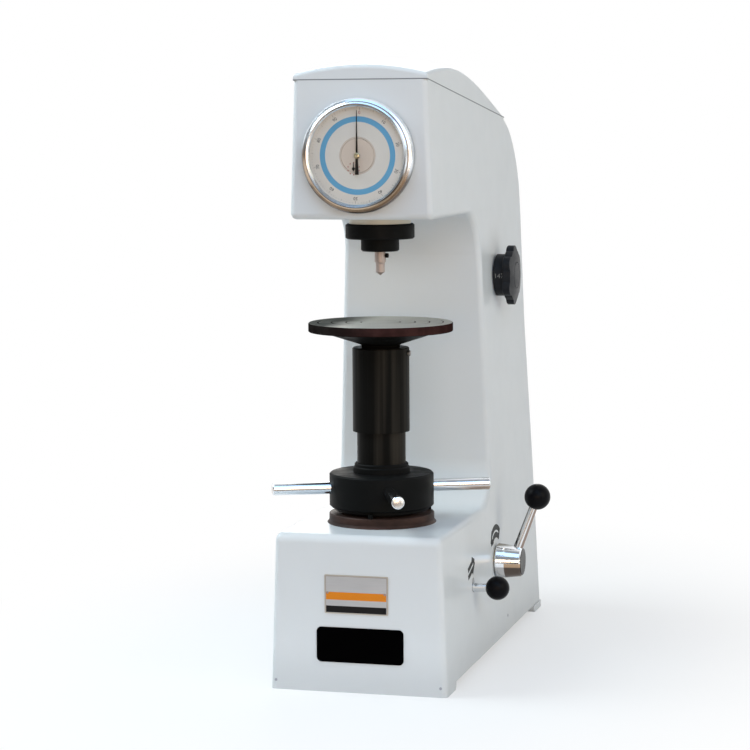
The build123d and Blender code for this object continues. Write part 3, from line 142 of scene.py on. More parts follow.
class Tree:
    """Builds nodes in a material's or a world's node tree."""

    def __init__(self, tree):
        self.tree = tree

    def add(self, kind, settings=None, *inputs, **named):
        """Adds a node: its settings first, then its inputs by place or by name."""
        node = self.tree.nodes.new(kind)
        for key, value in (settings or {}).items():
            if key == "stops":
                self.fill_ramp(node.color_ramp, value)
            else:
                setattr(node, key, value)
        for place, value in enumerate(inputs):
            self.feed(node.inputs[place], value)
        for name, value in named.items():
            self.feed(node.inputs[name], value)
        return Value(self, node)

    def feed(self, socket, value):
        if isinstance(value, Value):
            self.tree.links.new(value.socket, socket)
        elif value is not None:
            socket.default_value = value

    def fill_ramp(self, ramp, stops):
        while len(ramp.elements) < len(stops):
            ramp.elements.new(0.5)
        for element, (place, colour) in zip(ramp.elements, stops):
            element.position = place
            element.color = (*colour, 1.0)

    def calculate(self, operation, *inputs):
        return self.add("ShaderNodeMath", {"operation": operation}, *inputs)

    def vector(self, operation, *inputs, **named):
        return self.add("ShaderNodeVectorMath", {"operation": operation}, *inputs, **named)

    def axes(self, vector):
        split = self.add("ShaderNodeSeparateXYZ", None, vector)
        return split.out("X"), split.out("Y"), split.out("Z")

    def distance(self, place, centre=(0, 0, 0), across=(1, 1, 1)):
        """Distance from a centre, with an axis stretched or left out."""
        from_centre = self.vector("SUBTRACT", place, centre)
        return self.vector("LENGTH", self.vector("MULTIPLY", from_centre, across)).out("Value")

    def step(self, value, low, high, result_low=0.0, result_high=1.0):
        """Smooth change from one result to the other between low and high."""
        settings = {"interpolation_type": "SMOOTHSTEP"}
        return self.add("ShaderNodeMapRange", settings, value, low, high, result_low, result_high)

    def mix(self, factor, first, second):
        """Colour between first and second."""
        node = self.add("ShaderNodeMix", {"data_type": "RGBA", "clamp_factor": True})
        self.feed(node.node.inputs[0], factor)
        self.feed(node.node.inputs[6], first if isinstance(first, Value) else (*first, 1.0))
        self.feed(node.node.inputs[7], second if isinstance(second, Value) else (*second, 1.0))
        return node.out(2)


class Finish(Tree):
    """A material with one Principled shader, built node by node."""

    def __init__(self, name, colour, roughness=0.5, metallic=0.0,
                 coat=0.0, coat_roughness=0.05, specular=0.5):
        self.material = bpy.data.materials.new(name)
        self.material.use_nodes = True
        self.material.diffuse_color = (*colour, 1.0)
        super().__init__(self.material.node_tree)
        self.principled = Value(self, self.tree.nodes["Principled BSDF"])
        self.set("Base Color", (*colour, 1.0))
        self.set("Roughness", roughness)
        self.set("Metallic", metallic)
        self.set("Coat Weight", coat)
        self.set("Coat Roughness", coat_roughness)
        self.set("Specular IOR Level", specular)

    def set(self, name, value):
        """Feeds a socket of the Principled shader with a value or a link."""
        self.feed(self.principled.node.inputs[name], value)

    def place(self):
        """Position on the piece, in metres."""
        return self.add("ShaderNodeTexCoord").out("Object")

    def noise(self, vector, scale, detail=3.0):
        return self.add("ShaderNodeTexNoise", None, Vector=vector, Scale=scale, Detail=detail, Roughness=0.5)

    def streaks(self, place, stretch, scale, detail=3.0):
        """Noise drawn out or pressed together along an axis."""
        return self.noise(self.vector("MULTIPLY", place, stretch), scale, detail)

    def worn_gloss(self, wear, smooth, rough):
        """Roughness that follows a pattern of wear."""
        roughness = self.step(wear, 0.3, 0.7, smooth, rough)
        self.set("Roughness", roughness)
        return roughness

    def bump(self, height, strength, distance, below=None):
        normal = self.add("ShaderNodeBump", None, Strength=strength, Distance=distance,
                          Height=height, Normal=below)
        self.set("Normal", normal)
        return normal

    def surface(self, share, first, second):
        """Shows the first shader where share is 0 and the second where it is 1."""
        both = self.add("ShaderNodeMixShader", None, share, first, second)
        self.feed(self.tree.nodes["Material Output"].inputs["Surface"], both)

    def give(self, *names):
        """Puts this finish on CAD nodes."""
        for name in names:
            slots = nodes[name].data.materials
            for index in range(len(slots)):
                slots[index] = self.material


def scaled(colour, factor):
    return tuple(min(1.0, channel * factor) for channel in colour)


# ---- camera ----
CAMERA_PLACE = Vector((0.6455, -2.3977, 0.5761))
CAMERA_AZIMUTH = math.radians(15.21)
CAMERA_PITCH = math.radians(6.02)
CAMERA_ROLL = math.radians(-0.39)
CAMERA_LENS = 115.45
SENSOR_WIDTH = 36.0


def make_camera():
    data = bpy.data.cameras.new("main_camera")
    data.lens = CAMERA_LENS
    data.sensor_width = SENSOR_WIDTH
    data.clip_start = 0.05
    camera = bpy.data.objects.new("main_camera", data)
    turn = Matrix.Rotation(CAMERA_AZIMUTH, 4, "Z")
    tilt = Matrix.Rotation(math.pi / 2 - CAMERA_PITCH, 4, "X")
    roll = Matrix.Rotation(CAMERA_ROLL, 4, "Z")
    camera.matrix_world = Matrix.Translation(CAMERA_PLACE) @ turn @ tilt @ roll
    bpy.context.scene.collection.objects.link(camera)
    bpy.context.scene.camera = camera


# ---- light, floor and the studio round the machine ----
ROOM_LEVEL = 0.25
ROOM_STOPS = [                 # from the floor below, past the horizon at 0.5, to the ceiling
    (0.0, (0.30, 0.26, 0.22)),
    (0.47, (0.34, 0.29, 0.25)),
    (0.505, (0.62, 0.56, 0.50)),
    (0.60, (0.88, 0.92, 0.96)),
    (1.0, (1.25, 1.34, 1.42)),
]
LAMP_AIM = Vector((0.0, 0.1, 0.35))
LAMPS = [                      # name, place, size, power, colour
    ("sky_light", (-1.6, -0.3, 1.9), (1.4, 1.4), 42.0, (0.86, 0.97, 1.0)),
    ("front_sky", (0.0, -1.5, 2.4), (2.0, 1.4), 14.5, (0.38, 0.64, 1.0)),
    ("right_window", (1.5, -2.2, 1.7), (1.6, 1.6), 20.0, (0.56, 0.77, 1.0)),
    ("side_light", (2.2, -0.8, 1.1), (1.2, 1.8), 16.5, (1.0, 0.93, 0.76)),
    ("low_light", (0.75, -2.6, 0.55), (2.0, 0.7), 17.5, (1.0, 0.72, 0.49)),
    ("rear_fill", (-0.7, 2.6, 1.2), (1.0, 1.6), 13.0, (1.0, 0.96, 0.90)),
]
FLOOR_REACH = 9.0
BENCH_LIFT = 0.004
BENCH_OUTLINE = [(-1.3, -2.2), (1.5, -2.2), (0.75, -0.21), (-1.3, -0.71)]


def seen_directly(tree):
    """1 for rays from the camera or through glass, and apart from them 1 for rays off a mirror."""
    path = tree.add("ShaderNodeLightPath")
    direct = path.out("Is Camera Ray").math("MAXIMUM", path.out("Is Transmission Ray"))
    return direct, path.out("Is Glossy Ray")


def make_world():
    """White behind the machine; a plain room of bright ceiling and dim walls in front of it."""
    world = bpy.data.worlds.new("studio")
    bpy.context.scene.world = world
    world.use_nodes = True
    world.node_tree.nodes.clear()
    tree = Tree(world.node_tree)
    _, y, z = tree.axes(tree.add("ShaderNodeTexCoord").out("Generated"))
    room = tree.add("ShaderNodeValToRGB", {"stops": ROOM_STOPS}, z * 0.5 + 0.5)
    direct, glossy = seen_directly(tree)
    behind = tree.step(y, -0.15, 0.25)
    light = tree.add("ShaderNodeBackground", None, room, ROOM_LEVEL)
    backdrop = tree.add("ShaderNodeBackground", None, WHITE, 1.0)
    both = tree.add("ShaderNodeMixShader", None, direct + glossy * behind, light, backdrop)
    tree.add("ShaderNodeOutputWorld", None, both)


def make_lamps():
    for name, place, size, power, colour in LAMPS:
        data = bpy.data.lights.new(name, "AREA")
        data.shape = "RECTANGLE"
        data.size, data.size_y = size
        data.energy = power
        data.color = colour
        lamp = bpy.data.objects.new(name, data)
        turn = (LAMP_AIM - Vector(place)).to_track_quat("-Z", "Y").to_matrix().to_4x4()
        lamp.matrix_world = Matrix.Translation(place) @ turn
        bpy.context.scene.collection.objects.link(lamp)


def staged_sheet(name, outline, height, material):
    """Flat part of the studio, no part of the machine."""
    data = bpy.data.meshes.new(name)
    data.from_pydata([(x, y, height) for x, y in outline], [], [(0, 1, 2, 3)])
    data.materials.append(material)
    sheet = bpy.data.objects.new(name, data)
    bpy.context.scene.collection.objects.link(sheet)


def make_floor():
    """Pale floor that fades to plain white away from the machine and keeps its shadow."""
    floor = Finish("floor_white", (0.86, 0.87, 0.88), roughness=0.9, specular=0.2)
    away = floor.distance(floor.place(), (0.0, 0.14, 0.0), (1.0, 0.62, 0.0))
    direct, glossy = seen_directly(floor)
    plain = floor.step(away, 0.14, 0.55, 0.5, 1.0)
    white = floor.add("ShaderNodeEmission", None, WHITE, 1.0)
    floor.surface((direct + glossy) * plain, floor.principled, white)
    reach = FLOOR_REACH
    outline = [(-reach, -reach), (reach, -reach), (reach, reach), (-reach, reach)]
    staged_sheet("floor", outline, 0.0, floor.material)


def make_bench():
    """Warm workbench in front of the machine, found only by rays that bounce off it."""
    bench = Finish("bench_brown", (0.17, 0.13, 0.10), roughness=0.6)
    grain = bench.streaks(bench.place(), (8, 1, 1), 6.0)
    bench.set("Base Color", bench.mix(grain, (0.13, 0.10, 0.08), (0.24, 0.18, 0.13)))
    path = bench.add("ShaderNodeLightPath")
    nothing = bench.add("ShaderNodeBsdfTransparent")
    bench.surface(path.out("Is Glossy Ray") + path.out("Is Diffuse Ray"), nothing, bench.principled)
    staged_sheet("bench", BENCH_OUTLINE, BENCH_LIFT, bench.material)


# ---- finishes that several pieces share ----
def enamel(name, colour, peel=1.0):
    """Sprayed and baked enamel over filled iron: glossy, faintly wavy, with orange peel."""
    finish = Finish(name, colour, roughness=0.4, coat=0.12, coat_roughness=0.1, specular=0.22)
    place = finish.place()
    _, _, z = finish.axes(place)
    bottom_fade = finish.step(z, 0.0, 0.055)
    tint = finish.mix(finish.noise(place, 9.0, 2.0), scaled(colour, 0.975), scaled(colour, 1.02))
    # darker towards the bottom: the colour falls to 85 % over the lowest 55 mm
    finish.set("Base Color", finish.mix(bottom_fade, scaled(colour, 0.85), tint))
    finish.set("Roughness", finish.step(finish.noise(place, 40.0), 0.3, 0.75, 0.34, 0.42))
    wave = finish.bump(finish.noise(place, 14.0, 1.0), 0.25, 0.0012)
    finish.bump(finish.noise(place, 420.0, 1.0), 0.06 * peel, 0.0003, wave)
    return finish


def bright_metal(name, colour, roughness, grain=1.0, stretch=(1, 1, 1)):
    """Plated or ground metal with fine wear in its gloss."""
    finish = Finish(name, colour, roughness=roughness, metallic=1.0)
    place = finish.place()
    wear = finish.noise(place, 90.0, 4.0)
    finish.set("Base Color", finish.mix(wear, scaled(colour, 0.93), scaled(colour, 1.03)))
    finish.worn_gloss(wear, roughness * 0.75, roughness * 1.35)
    finish.bump(finish.streaks(place, stretch, 900.0, 2.0), 0.05 * grain, 0.0002)
    return finish


def dark_oxide(name, colour, roughness=0.5, specular=0.08, worn=(1.9, 1.6, 1.5)):
    """Blackened steel: soft sheen, faint brown where it is rubbed."""
    finish = Finish(name, colour, roughness=roughness, specular=specular)
    place = finish.place()
    rub = finish.step(finish.noise(place, 26.0, 4.0), 0.5, 0.8)
    warm = tuple(channel * gain for channel, gain in zip(colour, worn))
    finish.set("Base Color", finish.mix(rub * 0.5, colour, warm))
    finish.worn_gloss(finish.noise(place, 60.0), roughness * 0.85, roughness * 1.15)
    finish.bump(finish.noise(place, 700.0, 2.0), 0.10, 0.0002)
    return finish


def moulded(name, colour, roughness, specular=0.4):
    """Phenolic or other moulded plastic with faint flow marks."""
    finish = Finish(name, colour, roughness=roughness, coat_roughness=0.15, specular=specular)
    place = finish.place()
    flow = finish.streaks(place, (1, 1, 2.5), 35.0)
    finish.set("Base Color", finish.mix(flow, scaled(colour, 0.8), scaled(colour, 1.35)))
    finish.worn_gloss(flow, roughness * 0.9, roughness * 1.2)
    finish.bump(finish.noise(place, 500.0, 1.0), 0.04, 0.0002)
    return finish


def print_ink(name, colour, roughness=0.5):
    """Screen printing ink, a little uneven."""
    finish = Finish(name, colour, roughness=roughness, specular=0.1)
    cover = finish.noise(finish.place(), 1500.0, 2.0)
    finish.set("Base Color", finish.mix(cover, scaled(colour, 0.88), scaled(colour, 1.1)))
    return finish


# ---- finishes of single pieces ----
def sleeve_finish():
    """Blackened tube, polished by hand in long vertical streaks."""
    finish = Finish("sleeve_black", (0.004, 0.0036, 0.003), roughness=0.4, specular=0.03)
    place = finish.place()
    streak = finish.streaks(place, (1, 1, 0.02), 70.0)
    rubbed = finish.step(streak, 0.48, 0.72)
    finish.set("Base Color", finish.mix(rubbed, (0.006, 0.0058, 0.0052), (0.031, 0.027, 0.022)))
    finish.worn_gloss(streak, 0.26, 0.42)
    finish.bump(finish.streaks(place, (1, 1, 0.2), 600.0, 2.0), 0.06, 0.0002)
    finish.give("outer_sleeve", "inner_sleeve")


def table_finish():
    """Brown oxide table, redder to the right; its grooved top is ground, dark to the left and bright to the
    right as a painted reflection.
    """
    finish = Finish("table_steel", (0.05, 0.024, 0.02), roughness=0.5, specular=0.0)
    place = finish.place()
    x, _, z = finish.axes(place)
    radius = finish.distance(place, across=(1, 1, 0))
    cloud = finish.noise(place, 24.0, 4.0)
    skin = finish.noise(place, 60.0, 3.0)

    reddish = finish.mix(finish.step(x, -0.05, 0.04), (0.016, 0.013, 0.012), (0.05, 0.022, 0.02))
    thin = finish.vector("SCALE", reddish, Scale=0.6)
    oxide = finish.mix(finish.step(skin, 0.35, 0.7), thin, reddish)
    oxide = finish.mix(z < (TABLE_TOP_Z - TABLE_RIM) * MM, oxide, (0.006, 0.006, 0.005))

    # painted reflection: the ground top is dark to the left and bright to the right
    painted_reflection_right = finish.step(x + (cloud - 0.5) * 0.03, -0.05, -0.01)
    ground = finish.mix(painted_reflection_right, (0.075, 0.074, 0.066), (0.43, 0.41, 0.365))
    steel = finish.mix(finish.step(cloud, 0.3, 0.75) * 0.2, ground, (0.26, 0.24, 0.21))
    above_grooves = z > (TABLE_TOP_Z - 0.75) * MM
    groove = finish.mix(above_grooves, (0.03, 0.025, 0.022), (0.05, 0.045, 0.04))
    worked = finish.mix(z > (TABLE_TOP_Z - 0.3) * MM, groove, steel)

    is_top = above_grooves * (radius < TABLE_EDGE_R * MM)
    finish.set("Base Color", finish.mix(is_top, oxide, worked))
    finish.set("Metallic", is_top * painted_reflection_right * 0.3)
    finish.set("Roughness", finish.step(cloud, 0.2, 0.8, 0.3, 0.45))
    turning = (radius * 5200.0).math("SINE")
    finish.bump(turning * is_top + finish.noise(place, 500.0), 0.05, 0.0002)
    finish.give("anvil_table")


def ring_finish():
    finish = Finish("seat_ring_brown", (0.04, 0.02, 0.016), roughness=0.45, specular=0.1)
    place = finish.place()
    skin = finish.step(finish.streaks(place, (1, 1, 3), 30.0, 4.0), 0.3, 0.75)
    finish.set("Base Color", finish.mix(skin, (0.026, 0.015, 0.012), (0.074, 0.041, 0.032)))
    finish.bump(finish.noise(place, 600.0), 0.08, 0.0002)
    finish.give("seat_ring")


def nose_finish():
    """Hardened spindle nose and indenter, drawn to a pinkish straw colour."""
    finish = Finish("nose_straw", (0.45, 0.35, 0.31), roughness=0.42, metallic=0.35, specular=0.2)
    turned = finish.streaks(finish.place(), (1, 1, 12), 220.0)
    finish.set("Base Color", finish.mix(turned, (0.36, 0.30, 0.275), (0.50, 0.42, 0.385)))
    finish.worn_gloss(turned, 0.36, 0.5)
    finish.bump(turned, 0.06, 0.0002)
    finish.give("spindle", "indenter")


def dial_finish():
    """Warm grey enamel with a beige middle and the blue band of the scale."""
    finish = Finish("dial_enamel", (0.56, 0.54, 0.53), roughness=0.5)
    place = finish.place()
    radius = finish.distance(place, (0, 0, DIAL_Z * MM), (1, 0, 1))
    cloud = finish.noise(place, 60.0, 3.0)
    outside = finish.mix(cloud, (0.73, 0.66, 0.61), (0.79, 0.72, 0.67))
    inside = finish.mix(cloud, (0.69, 0.645, 0.61), (0.74, 0.685, 0.65))
    blue = finish.mix(cloud, (0.105, 0.34, 0.58), (0.14, 0.40, 0.64))
    paper = finish.mix(radius > (BAND_IN + BAND_OUT) / 2 * MM, inside, outside)
    middle = finish.mix(radius > CENTRE_LINE_R * MM, CENTRE_BEIGE, CENTRE_LINE)
    paper = finish.mix(radius > CENTRE_R * MM, middle, paper)
    band = (radius > BAND_IN * MM) * (radius < BAND_OUT * MM)
    finish.set("Base Color", finish.mix(band, paper, blue))
    finish.bump(finish.noise(place, 900.0), 0.02, 0.0001)
    finish.give("dial_face")


def centre_finish():
    finish = Finish("dial_centre_enamel", CENTRE_BEIGE, roughness=0.5)
    cloud = finish.noise(finish.place(), 70.0, 3.0)
    finish.set("Base Color", finish.mix(cloud, scaled(CENTRE_BEIGE, 0.96), scaled(CENTRE_BEIGE, 1.04)))
    finish.give("dial_centre")


def glass_finish():
    """Clear flat glass: lets all through but its reflection."""
    finish = Finish("dial_glass", (0.9, 0.95, 0.95), roughness=0.03)
    smear = finish.step(finish.noise(finish.place(), 30.0, 3.0), 0.3, 0.8, 0.02, 0.08)
    clear = finish.add("ShaderNodeBsdfTransparent", None, (0.975, 0.985, 0.98, 1.0))
    shine = finish.add("ShaderNodeBsdfGlossy", None, WHITE, smear)
    front = 1.0 - finish.add("ShaderNodeNewGeometry").out("Backfacing")
    finish.surface(finish.add("ShaderNodeFresnel", None, 1.45) * front, clear, shine)
    finish.give("dial_glass")


def hub_finish():
    """Chromed hub; its dark end face, a tint below for the dim room it would mirror and a brown band near its
    top are painted reflections.
    """
    finish = Finish("hub_chrome", (0.80, 0.80, 0.80), roughness=0.1, metallic=1.0)
    place = finish.place()
    x, _, z = finish.axes(place)
    wear = finish.noise(place, 90.0, 4.0)
    # painted reflections: tan and dark tints below the axis on the outer part, a brown band near the top and
    # a dark end face
    height = z - UNLOAD_AT[1] * MM
    outer = finish.step(x, (HUB_END_X - HUB_TINT - 0.5) * MM, (HUB_END_X - HUB_TINT + 0.5) * MM)
    below_middle = finish.step(height, 0.5 * MM, -0.5 * MM)
    well_below = finish.step(height, -3.5 * MM, -5.0 * MM)
    clear = finish.mix(wear, (0.90, 0.93, 0.96), (0.95, 0.97, 1.0))
    tan = finish.mix(below_middle * outer, clear, (0.50, 0.35, 0.23))
    dark = finish.mix(outer, (0.52, 0.52, 0.52), (0.11, 0.088, 0.075))
    tinted = finish.mix(well_below, tan, dark)
    crown = finish.mix(finish.step(height, 16.5 * MM, 18.5 * MM), tinted, (0.30, 0.27, 0.22))
    end = x > (HUB_END_X - 0.5) * MM
    finish.set("Base Color", finish.mix(end, crown, (0.013, 0.0115, 0.010)))
    finish.set("Roughness", finish.worn_gloss(wear, 0.08, 0.16) + end * 0.25)
    finish.give("unload_hub")


def bezel_finish():
    """Chromed bezel with painted reflections: the straw tint, dark rim, lighter inner lip and dark line below
    stand for the bench it would mirror, and the brown line above is a painted reflection too.
    """
    finish = Finish("bezel_chrome", (0.82, 0.84, 0.86), roughness=0.12, metallic=1.0)
    place = finish.place()
    radius = finish.distance(place, (0, 0, DIAL_Z * MM), (1, 0, 1))
    x, _, z = finish.axes(place)
    wear = finish.noise(place, 90.0, 4.0)
    # mask of the lower part, which carries the painted reflection of the bench
    low = finish.step(z - DIAL_Z * MM + x * 0.25, 0.004, -0.014)

    clear = finish.mix(wear, (0.78, 0.83, 0.88), (0.86, 0.90, 0.94))
    # painted reflection: brown line on the crease above
    crease = (radius > CREASE_IN * MM) * (radius < CREASE_OUT * MM)
    above = finish.mix(crease, clear, (0.42, 0.34, 0.29))

    # painted reflection below: straw tint, dark rim, lighter inner lip and dark step line
    straw = finish.mix(wear, (0.50, 0.39, 0.29), (0.60, 0.48, 0.36))
    rim = finish.mix(finish.step(radius, RIM_IN * MM, RIM_OUT * MM), straw, (0.15, 0.125, 0.11))
    inner = finish.mix(radius < STEP_IN * MM, rim, (0.62, 0.64, 0.66))
    step_line = (radius > STEP_IN * MM) * (radius < STEP_OUT * MM)
    below = finish.mix(step_line, inner, (0.17, 0.15, 0.14))

    finish.set("Base Color", finish.mix(low, above, below))
    finish.worn_gloss(wear, 0.17, 0.25)
    finish.give("bezel_ring")


def rods_finish():
    """Bright rods; the undersides of the right ones carry a painted reflection of the bench they would
    mirror.
    """
    finish = Finish("rod_chrome", (0.84, 0.86, 0.88), roughness=0.1, metallic=1.0)
    place = finish.place()
    x, _, z = finish.axes(place)
    wear = finish.noise(place, 90.0, 4.0)
    # painted reflection of the bench on the undersides of the right rods
    under = finish.step(z, (ROD_Z - 0.6) * MM, (ROD_Z - 2.4) * MM) * finish.step(x, 0.055, 0.095)
    clear = finish.mix(wear, (0.78, 0.81, 0.85), (0.86, 0.88, 0.90))
    finish.set("Base Color", finish.mix(under, clear, (0.42, 0.34, 0.28)))
    finish.worn_gloss(wear, 0.08, 0.16)
    finish.give("handwheel_rods")


def lever_rod_finish():
    """Bright lever rods; the tan flank facing right and the dark grey flank facing left are painted
    reflections of the room they would mirror.
    """
    finish = Finish("lever_chrome", (0.84, 0.86, 0.88), roughness=0.12, metallic=1.0)
    wear = finish.noise(finish.place(), 90.0, 4.0)
    facing, _, _ = finish.axes(finish.add("ShaderNodeTexCoord").out("Normal"))
    clear = finish.mix(wear, (0.78, 0.79, 0.81), (0.86, 0.87, 0.88))
    # painted reflections: tan on the flank facing right, dark grey on the flank facing left
    outer = finish.mix(finish.step(facing, 0.5, 0.62), clear, (0.33, 0.26, 0.225))
    finish.set("Base Color", finish.mix(finish.step(facing, -0.45, -0.7), outer, (0.24, 0.225, 0.215)))
    finish.worn_gloss(wear, 0.1, 0.18)
    finish.give("unload_rod", "load_rod")


def plate_finish():
    """Brushed aluminium nameplate blank with a warm bare rim."""
    finish = Finish("plate_metal", (0.55, 0.55, 0.55), roughness=0.38, metallic=0.55)
    place = finish.place()
    brush = finish.streaks(place, (0.05, 1, 1), 1600.0, 2.0)
    x, _, z = finish.axes(finish.vector("SUBTRACT", place, (PLATE_AT[0] * MM, 0, PLATE_AT[1] * MM)))
    past_x = x.math("ABSOLUTE") - (PLATE_SIZE[0] / 2 - PLATE_RIM) * MM
    past_z = z.math("ABSOLUTE") - (PLATE_SIZE[1] / 2 - PLATE_RIM) * MM
    metal = finish.mix(brush, (0.50, 0.50, 0.51), (0.58, 0.58, 0.59))
    finish.set("Base Color", finish.mix(past_x.math("MAXIMUM", past_z) > 0.0, metal, (0.50, 0.45, 0.38)))
    finish.set("Roughness", finish.step(brush, 0.2, 0.8, 0.3, 0.46))
    finish.bump(brush, 0.05, 0.0001)
    finish.give("data_plate")


# ---- mesh helpers ----
def make_piece(name, mesh, finish, body, smooth=True):
    """Turns a bmesh, in millimetres, into a piece that rides on a body."""
    bmesh.ops.recalc_face_normals(mesh, faces=mesh.faces)
    bmesh.ops.scale(mesh, vec=(MM, MM, MM), verts=mesh.verts)
    data = bpy.data.meshes.new(name)
    mesh.to_mesh(data)
    mesh.free()
    data.materials.append(finish.material)
    if smooth:
        data.shade_smooth()
        data.set_sharp_from_angle(angle=math.radians(35))
    piece = bpy.data.objects.new(name, data)
    bpy.context.scene.collection.objects.link(piece)
    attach(piece, body)


def slab(mesh, outline, place, thickness):
    """Adds a thin slab: its outline is in the plane, place maps (u, v, lift) to a point."""
    low = [mesh.verts.new(place(u, v, 0.0)) for u, v in outline]
    high = [mesh.verts.new(place(u, v, thickness)) for u, v in outline]
    mesh.faces.new(low[::-1])
    mesh.faces.new(high)
    count = len(outline)
    for i in range(count):
        j = (i + 1) % count
        mesh.faces.new((low[i], low[j], high[j], high[i]))


def on_dial(u, v, lift):
    """Point on the dial face; u to the right and v up from its centre."""
    return (u, DIAL_FACE_Y - 0.02 - lift, DIAL_Z + v)


def on_plate(u, v, lift):
    return (PLATE_AT[0] + u, PLATE_Y - lift, PLATE_AT[1] + v)


def on_side(u, v, lift):
    """Point on the right wall; u is Y and v is Z."""
    return (half_width(v) + lift, u, v)


def arc(radius, start, end, steps, centre=(0.0, 0.0)):
    """Points on an arc, angles in degrees."""
    points = []
    for i in range(steps + 1):
        angle = math.radians(start + (end - start) * i / steps)
        points.append((centre[0] + radius * math.cos(angle), centre[1] + radius * math.sin(angle)))
    return points


def polar(radius, angle, centre=(0.0, 0.0)):
    """One point at an angle in degrees."""
    return arc(radius, angle, angle, 1, centre)[0]


def stroke(path, width):
    """Outline of a line of some width along a path."""
    left = []
    right = []
    for i, point in enumerate(path):
        before = Vector(path[max(i - 1, 0)])
        after = Vector(path[min(i + 1, len(path) - 1)])
        along = (after - before).normalized()
        across = Vector((-along.y, along.x)) * width / 2
        left.append(tuple(Vector(point) + across))
        right.append(tuple(Vector(point) - across))
    return left + right[::-1]


def number_outline(text, height):
    """Flat mesh of a plain number, centred, as vertices and faces in millimetres."""
    curve = bpy.data.curves.new("number", "FONT")
    curve.body = text
    curve.size = height / 0.7
    curve.align_x = "CENTER"
    curve.align_y = "CENTER"
    curve.resolution_u = 3
    carrier = bpy.data.objects.new("number", curve)
    flat = bpy.data.meshes.new_from_object(carrier)
    points = [(v.co.x, v.co.y) for v in flat.vertices]
    faces = [tuple(p.vertices) for p in flat.polygons]
    bpy.data.objects.remove(carrier)
    bpy.data.curves.remove(curve)
    bpy.data.meshes.remove(flat)
    return points, faces


def add_number(mesh, text, height, place):
    """Adds a number as a thin skin; place maps (u, v) to a point."""
    points, faces = number_outline(text, height)
    verts = [mesh.verts.new(place(u, v)) for u, v in points]
    for face in faces:
        mesh.faces.new([verts[i] for i in face])


def lathe(mesh, profile, place, steps=32):
    """Adds a body of revolution; profile is (radius, height), place maps (x, y, height)."""
    rings = []
    for radius, height in profile:
        if radius == 0:
            rings.append([mesh.verts.new(place(0.0, 0.0, height))])
        else:
            rings.append([mesh.verts.new(place(*point, height)) for point in arc(radius, 0, 360, steps)[:-1]])
    for lower, upper in zip(rings, rings[1:]):
        for i in range(steps):
            j = (i + 1) % steps
            corners = [lower[i % len(lower)], lower[j % len(lower)],
                       upper[j % len(upper)], upper[i % len(upper)]]
            corners = [c for k, c in enumerate(corners) if c not in corners[:k]]
            if len(corners) > 2:
                mesh.faces.new(corners)


# ---- dial scale, turn counter and pointer cap ----
def scale_ticks():
    """Hundred ticks: each tenth long, each fifth of middle length, both bold."""
    ticks = bmesh.new()
    for index in range(100):
        angle = 90.0 - ZERO_TURN - index * 3.6
        inner = 45.0 if index % 10 == 0 else 45.9 if index % 5 == 0 else 46.5
        width = 0.32 if index % 5 == 0 else 0.18
        slab(ticks, stroke([polar(inner, angle), polar(TICK_OUT, angle)], width), on_dial, 0.03)
    make_piece("scale_ticks", ticks, ink_soft, "bezel", smooth=False)


def radial(angle, radius):
    """Maps (u, v) to the dial, with v outwards at an angle clockwise from the zero."""
    turn = math.radians(90.0 - ZERO_TURN - angle)
    across = Vector((math.sin(turn), -math.cos(turn)))
    outwards = Vector((math.cos(turn), math.sin(turn)))

    def place(u, v):
        return on_dial(*(outwards * (radius + v) + across * u), 0.03)
    return place


def scale_numbers():
    numbers = bmesh.new()
    for index in range(1, 10):
        add_number(numbers, str(index * 10), SCALE_NUMBER_HEIGHT, radial(index * 36, NUMBER_R))
    make_piece("scale_numbers", numbers, ink_black, "bezel", smooth=False)
    zero = bmesh.new()
    add_number(zero, "0", SCALE_NUMBER_HEIGHT, radial(0, NUMBER_R))
    make_piece("scale_zero", zero, ink_red, "bezel", smooth=False)


def turn_counter_dots():
    dots = bmesh.new()
    for index in range(10):
        centre = polar(COUNTER_DOTS_R, 90 - index * 36, COUNTER_AT)
        slab(dots, arc(0.62, 0, 330, 11, centre), on_dial, 0.03)
    make_piece("turn_counter_dots", dots, ink_red, "frame", smooth=False)


def pointer_cap():
    cap = bmesh.new()
    lathe(cap, [(2.9, 0.0), (2.9, 0.25), (2.5, 0.5), (1.2, 0.62), (1.0, 0.5), (0.0, 0.5)],
          lambda x, y, h: (x, POINTER_Y - h, DIAL_Z + y), 28)
    make_piece("pointer_cap", cap, gilt, "pointer")


# ---- prints and pins of the data plate ----
def plate_prints():
    half_x = PLATE_SIZE[0] / 2
    half_z = PLATE_SIZE[1] / 2
    inset = 1.3
    left, right = -half_x + inset, half_x - inset
    low, high = -half_z + inset, half_z - inset
    border = bmesh.new()
    for path in ([(left, high), (right, high)], [(left, low), (right, low)],
                 [(left, low), (left, high)], [(right, low), (right, high)]):
        slab(border, stroke(path, 0.35), on_plate, 0.03)
    make_piece("plate_border", border, ink_brown, "frame", smooth=False)

    left, right = -half_x + 1.6, half_x - 1.9
    bands = (("plate_orange_band", ink_orange, 2.3, -5.6), ("plate_black_band", ink_black, -11.8, -18.6))
    for name, ink, top, bottom in bands:
        band = bmesh.new()
        slab(band, [(left, bottom), (right, bottom), (right, top), (left, top)], on_plate, 0.05)
        make_piece(name, band, ink, "frame", smooth=False)

    pins = bmesh.new()
    dome = [(1.25, 0.0), (1.2, 0.25), (0.95, 0.45), (0.5, 0.58), (0.0, 0.62)]
    for x in (-half_x + 3.2, half_x - 3.4):
        lathe(pins, dome, lambda u, v, h, x=x: on_plate(x + u, 1.6 + v, h), 20)
    make_piece("plate_pins", pins, pin_steel, "frame")


